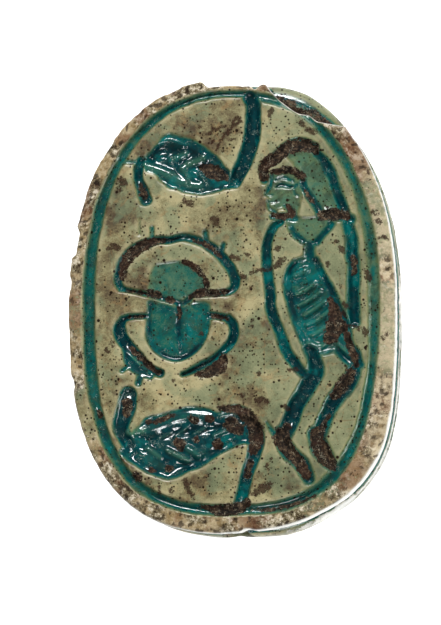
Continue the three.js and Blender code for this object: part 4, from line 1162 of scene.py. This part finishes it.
piece = to_object("carved_stone", *build_mesh())
cut(piece, bore_cutter())
paint(piece)
piece.data.shade_smooth()
piece.data.materials.clear()
piece.data.materials.append(scarab_material())
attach(piece, "root")
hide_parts("scarab")

# ---- floor, light and camera, in metres ----

FLOOR_HALF = 0.6
LIGHT_DISTANCE = 0.5
# Name, direction from the amulet, size and power
LIGHTS = [
    ("light_head", (-0.1, 1, 1.1), (0.16, 0.09), 2.7),
    ("light_tail", (0.1, -1, 0.7), (0.15, 0.05), 0.75),
    ("light_right", (1, -0.35, 0.32), (0.4, 0.1), 1.2),
]


def floor_and_world():
    mesh = bpy.data.meshes.new("floor")
    corners = [(x * FLOOR_HALF, y * FLOOR_HALF, 0) for x, y in ((-1, -1), (1, -1), (1, 1), (-1, 1))]
    mesh.from_pydata(corners, [], [(0, 1, 2, 3)])
    n = Nodes("floor_white")
    n.fill(n.shader, {"Base Color": (0.9, 0.9, 0.9, 1), "Roughness": 0.8, "Emission Color": (1, 1, 1, 1),
                      "Emission Strength": 0.75})
    mesh.materials.append(n.material)
    floor = add_object("floor", mesh)
    world = bpy.data.worlds.new("studio")
    world.use_nodes = True
    background = world.node_tree.nodes["Background"]
    background.inputs["Color"].default_value = (1, 1, 1, 1)
    background.inputs["Strength"].default_value = 0.1
    bpy.context.scene.world = world


def softbox(name, direction, size, strength):
    """A rectangular light that faces the amulet."""
    data = bpy.data.lights.new(name, "AREA")
    data.shape = "RECTANGLE"
    data.size, data.size_y = size
    data.energy = strength
    light = add_object(name, data)
    way = np.array(direction, float) / np.linalg.norm(direction)
    light.location = way * LIGHT_DISTANCE + (0, 0, HEIGHT * MM)
    light.rotation_mode = "QUATERNION"
    light.rotation_quaternion = Vector(-way).to_track_quat("-Z", "Y")


def camera():
    """Looks down on the base, tilted a little so that the side shows at the lower right."""
    lens, sensor, frame_long = 280, 36, 625
    tilt, turn = math.radians(9.5), math.radians(-40)
    spacing = 0.048  # of an image point, on the base
    aim_off = (-11.5, -5.5)
    away = on_plan(math.sin(tilt), np.array([turn]), np.array([math.cos(tilt)]))[0]
    right = np.cross(-away, (0, 1, 0))
    right /= np.linalg.norm(right)
    up = np.cross(right, -away)
    aim = np.array([*CARVING_SHIFT, HEIGHT]) + (*MIDDLE, 0) + spacing * (right * aim_off[0] + up * aim_off[1])
    eye = aim + away * lens / sensor * frame_long * spacing
    data = bpy.data.cameras.new("camera")
    data.lens, data.sensor_width = lens, sensor
    data.clip_start, data.clip_end = 0.01, 10
    made = add_object("camera", data)
    turned = Matrix(np.column_stack([right, up, away]).tolist()).to_4x4()
    made.matrix_world = Matrix.Translation(tuple(eye * MM)) @ turned
    bpy.context.scene.camera = made


floor_and_world()
for light in LIGHTS:
    softbox(*light)
camera()
bpy.context.scene.view_settings.view_transform = "Standard"
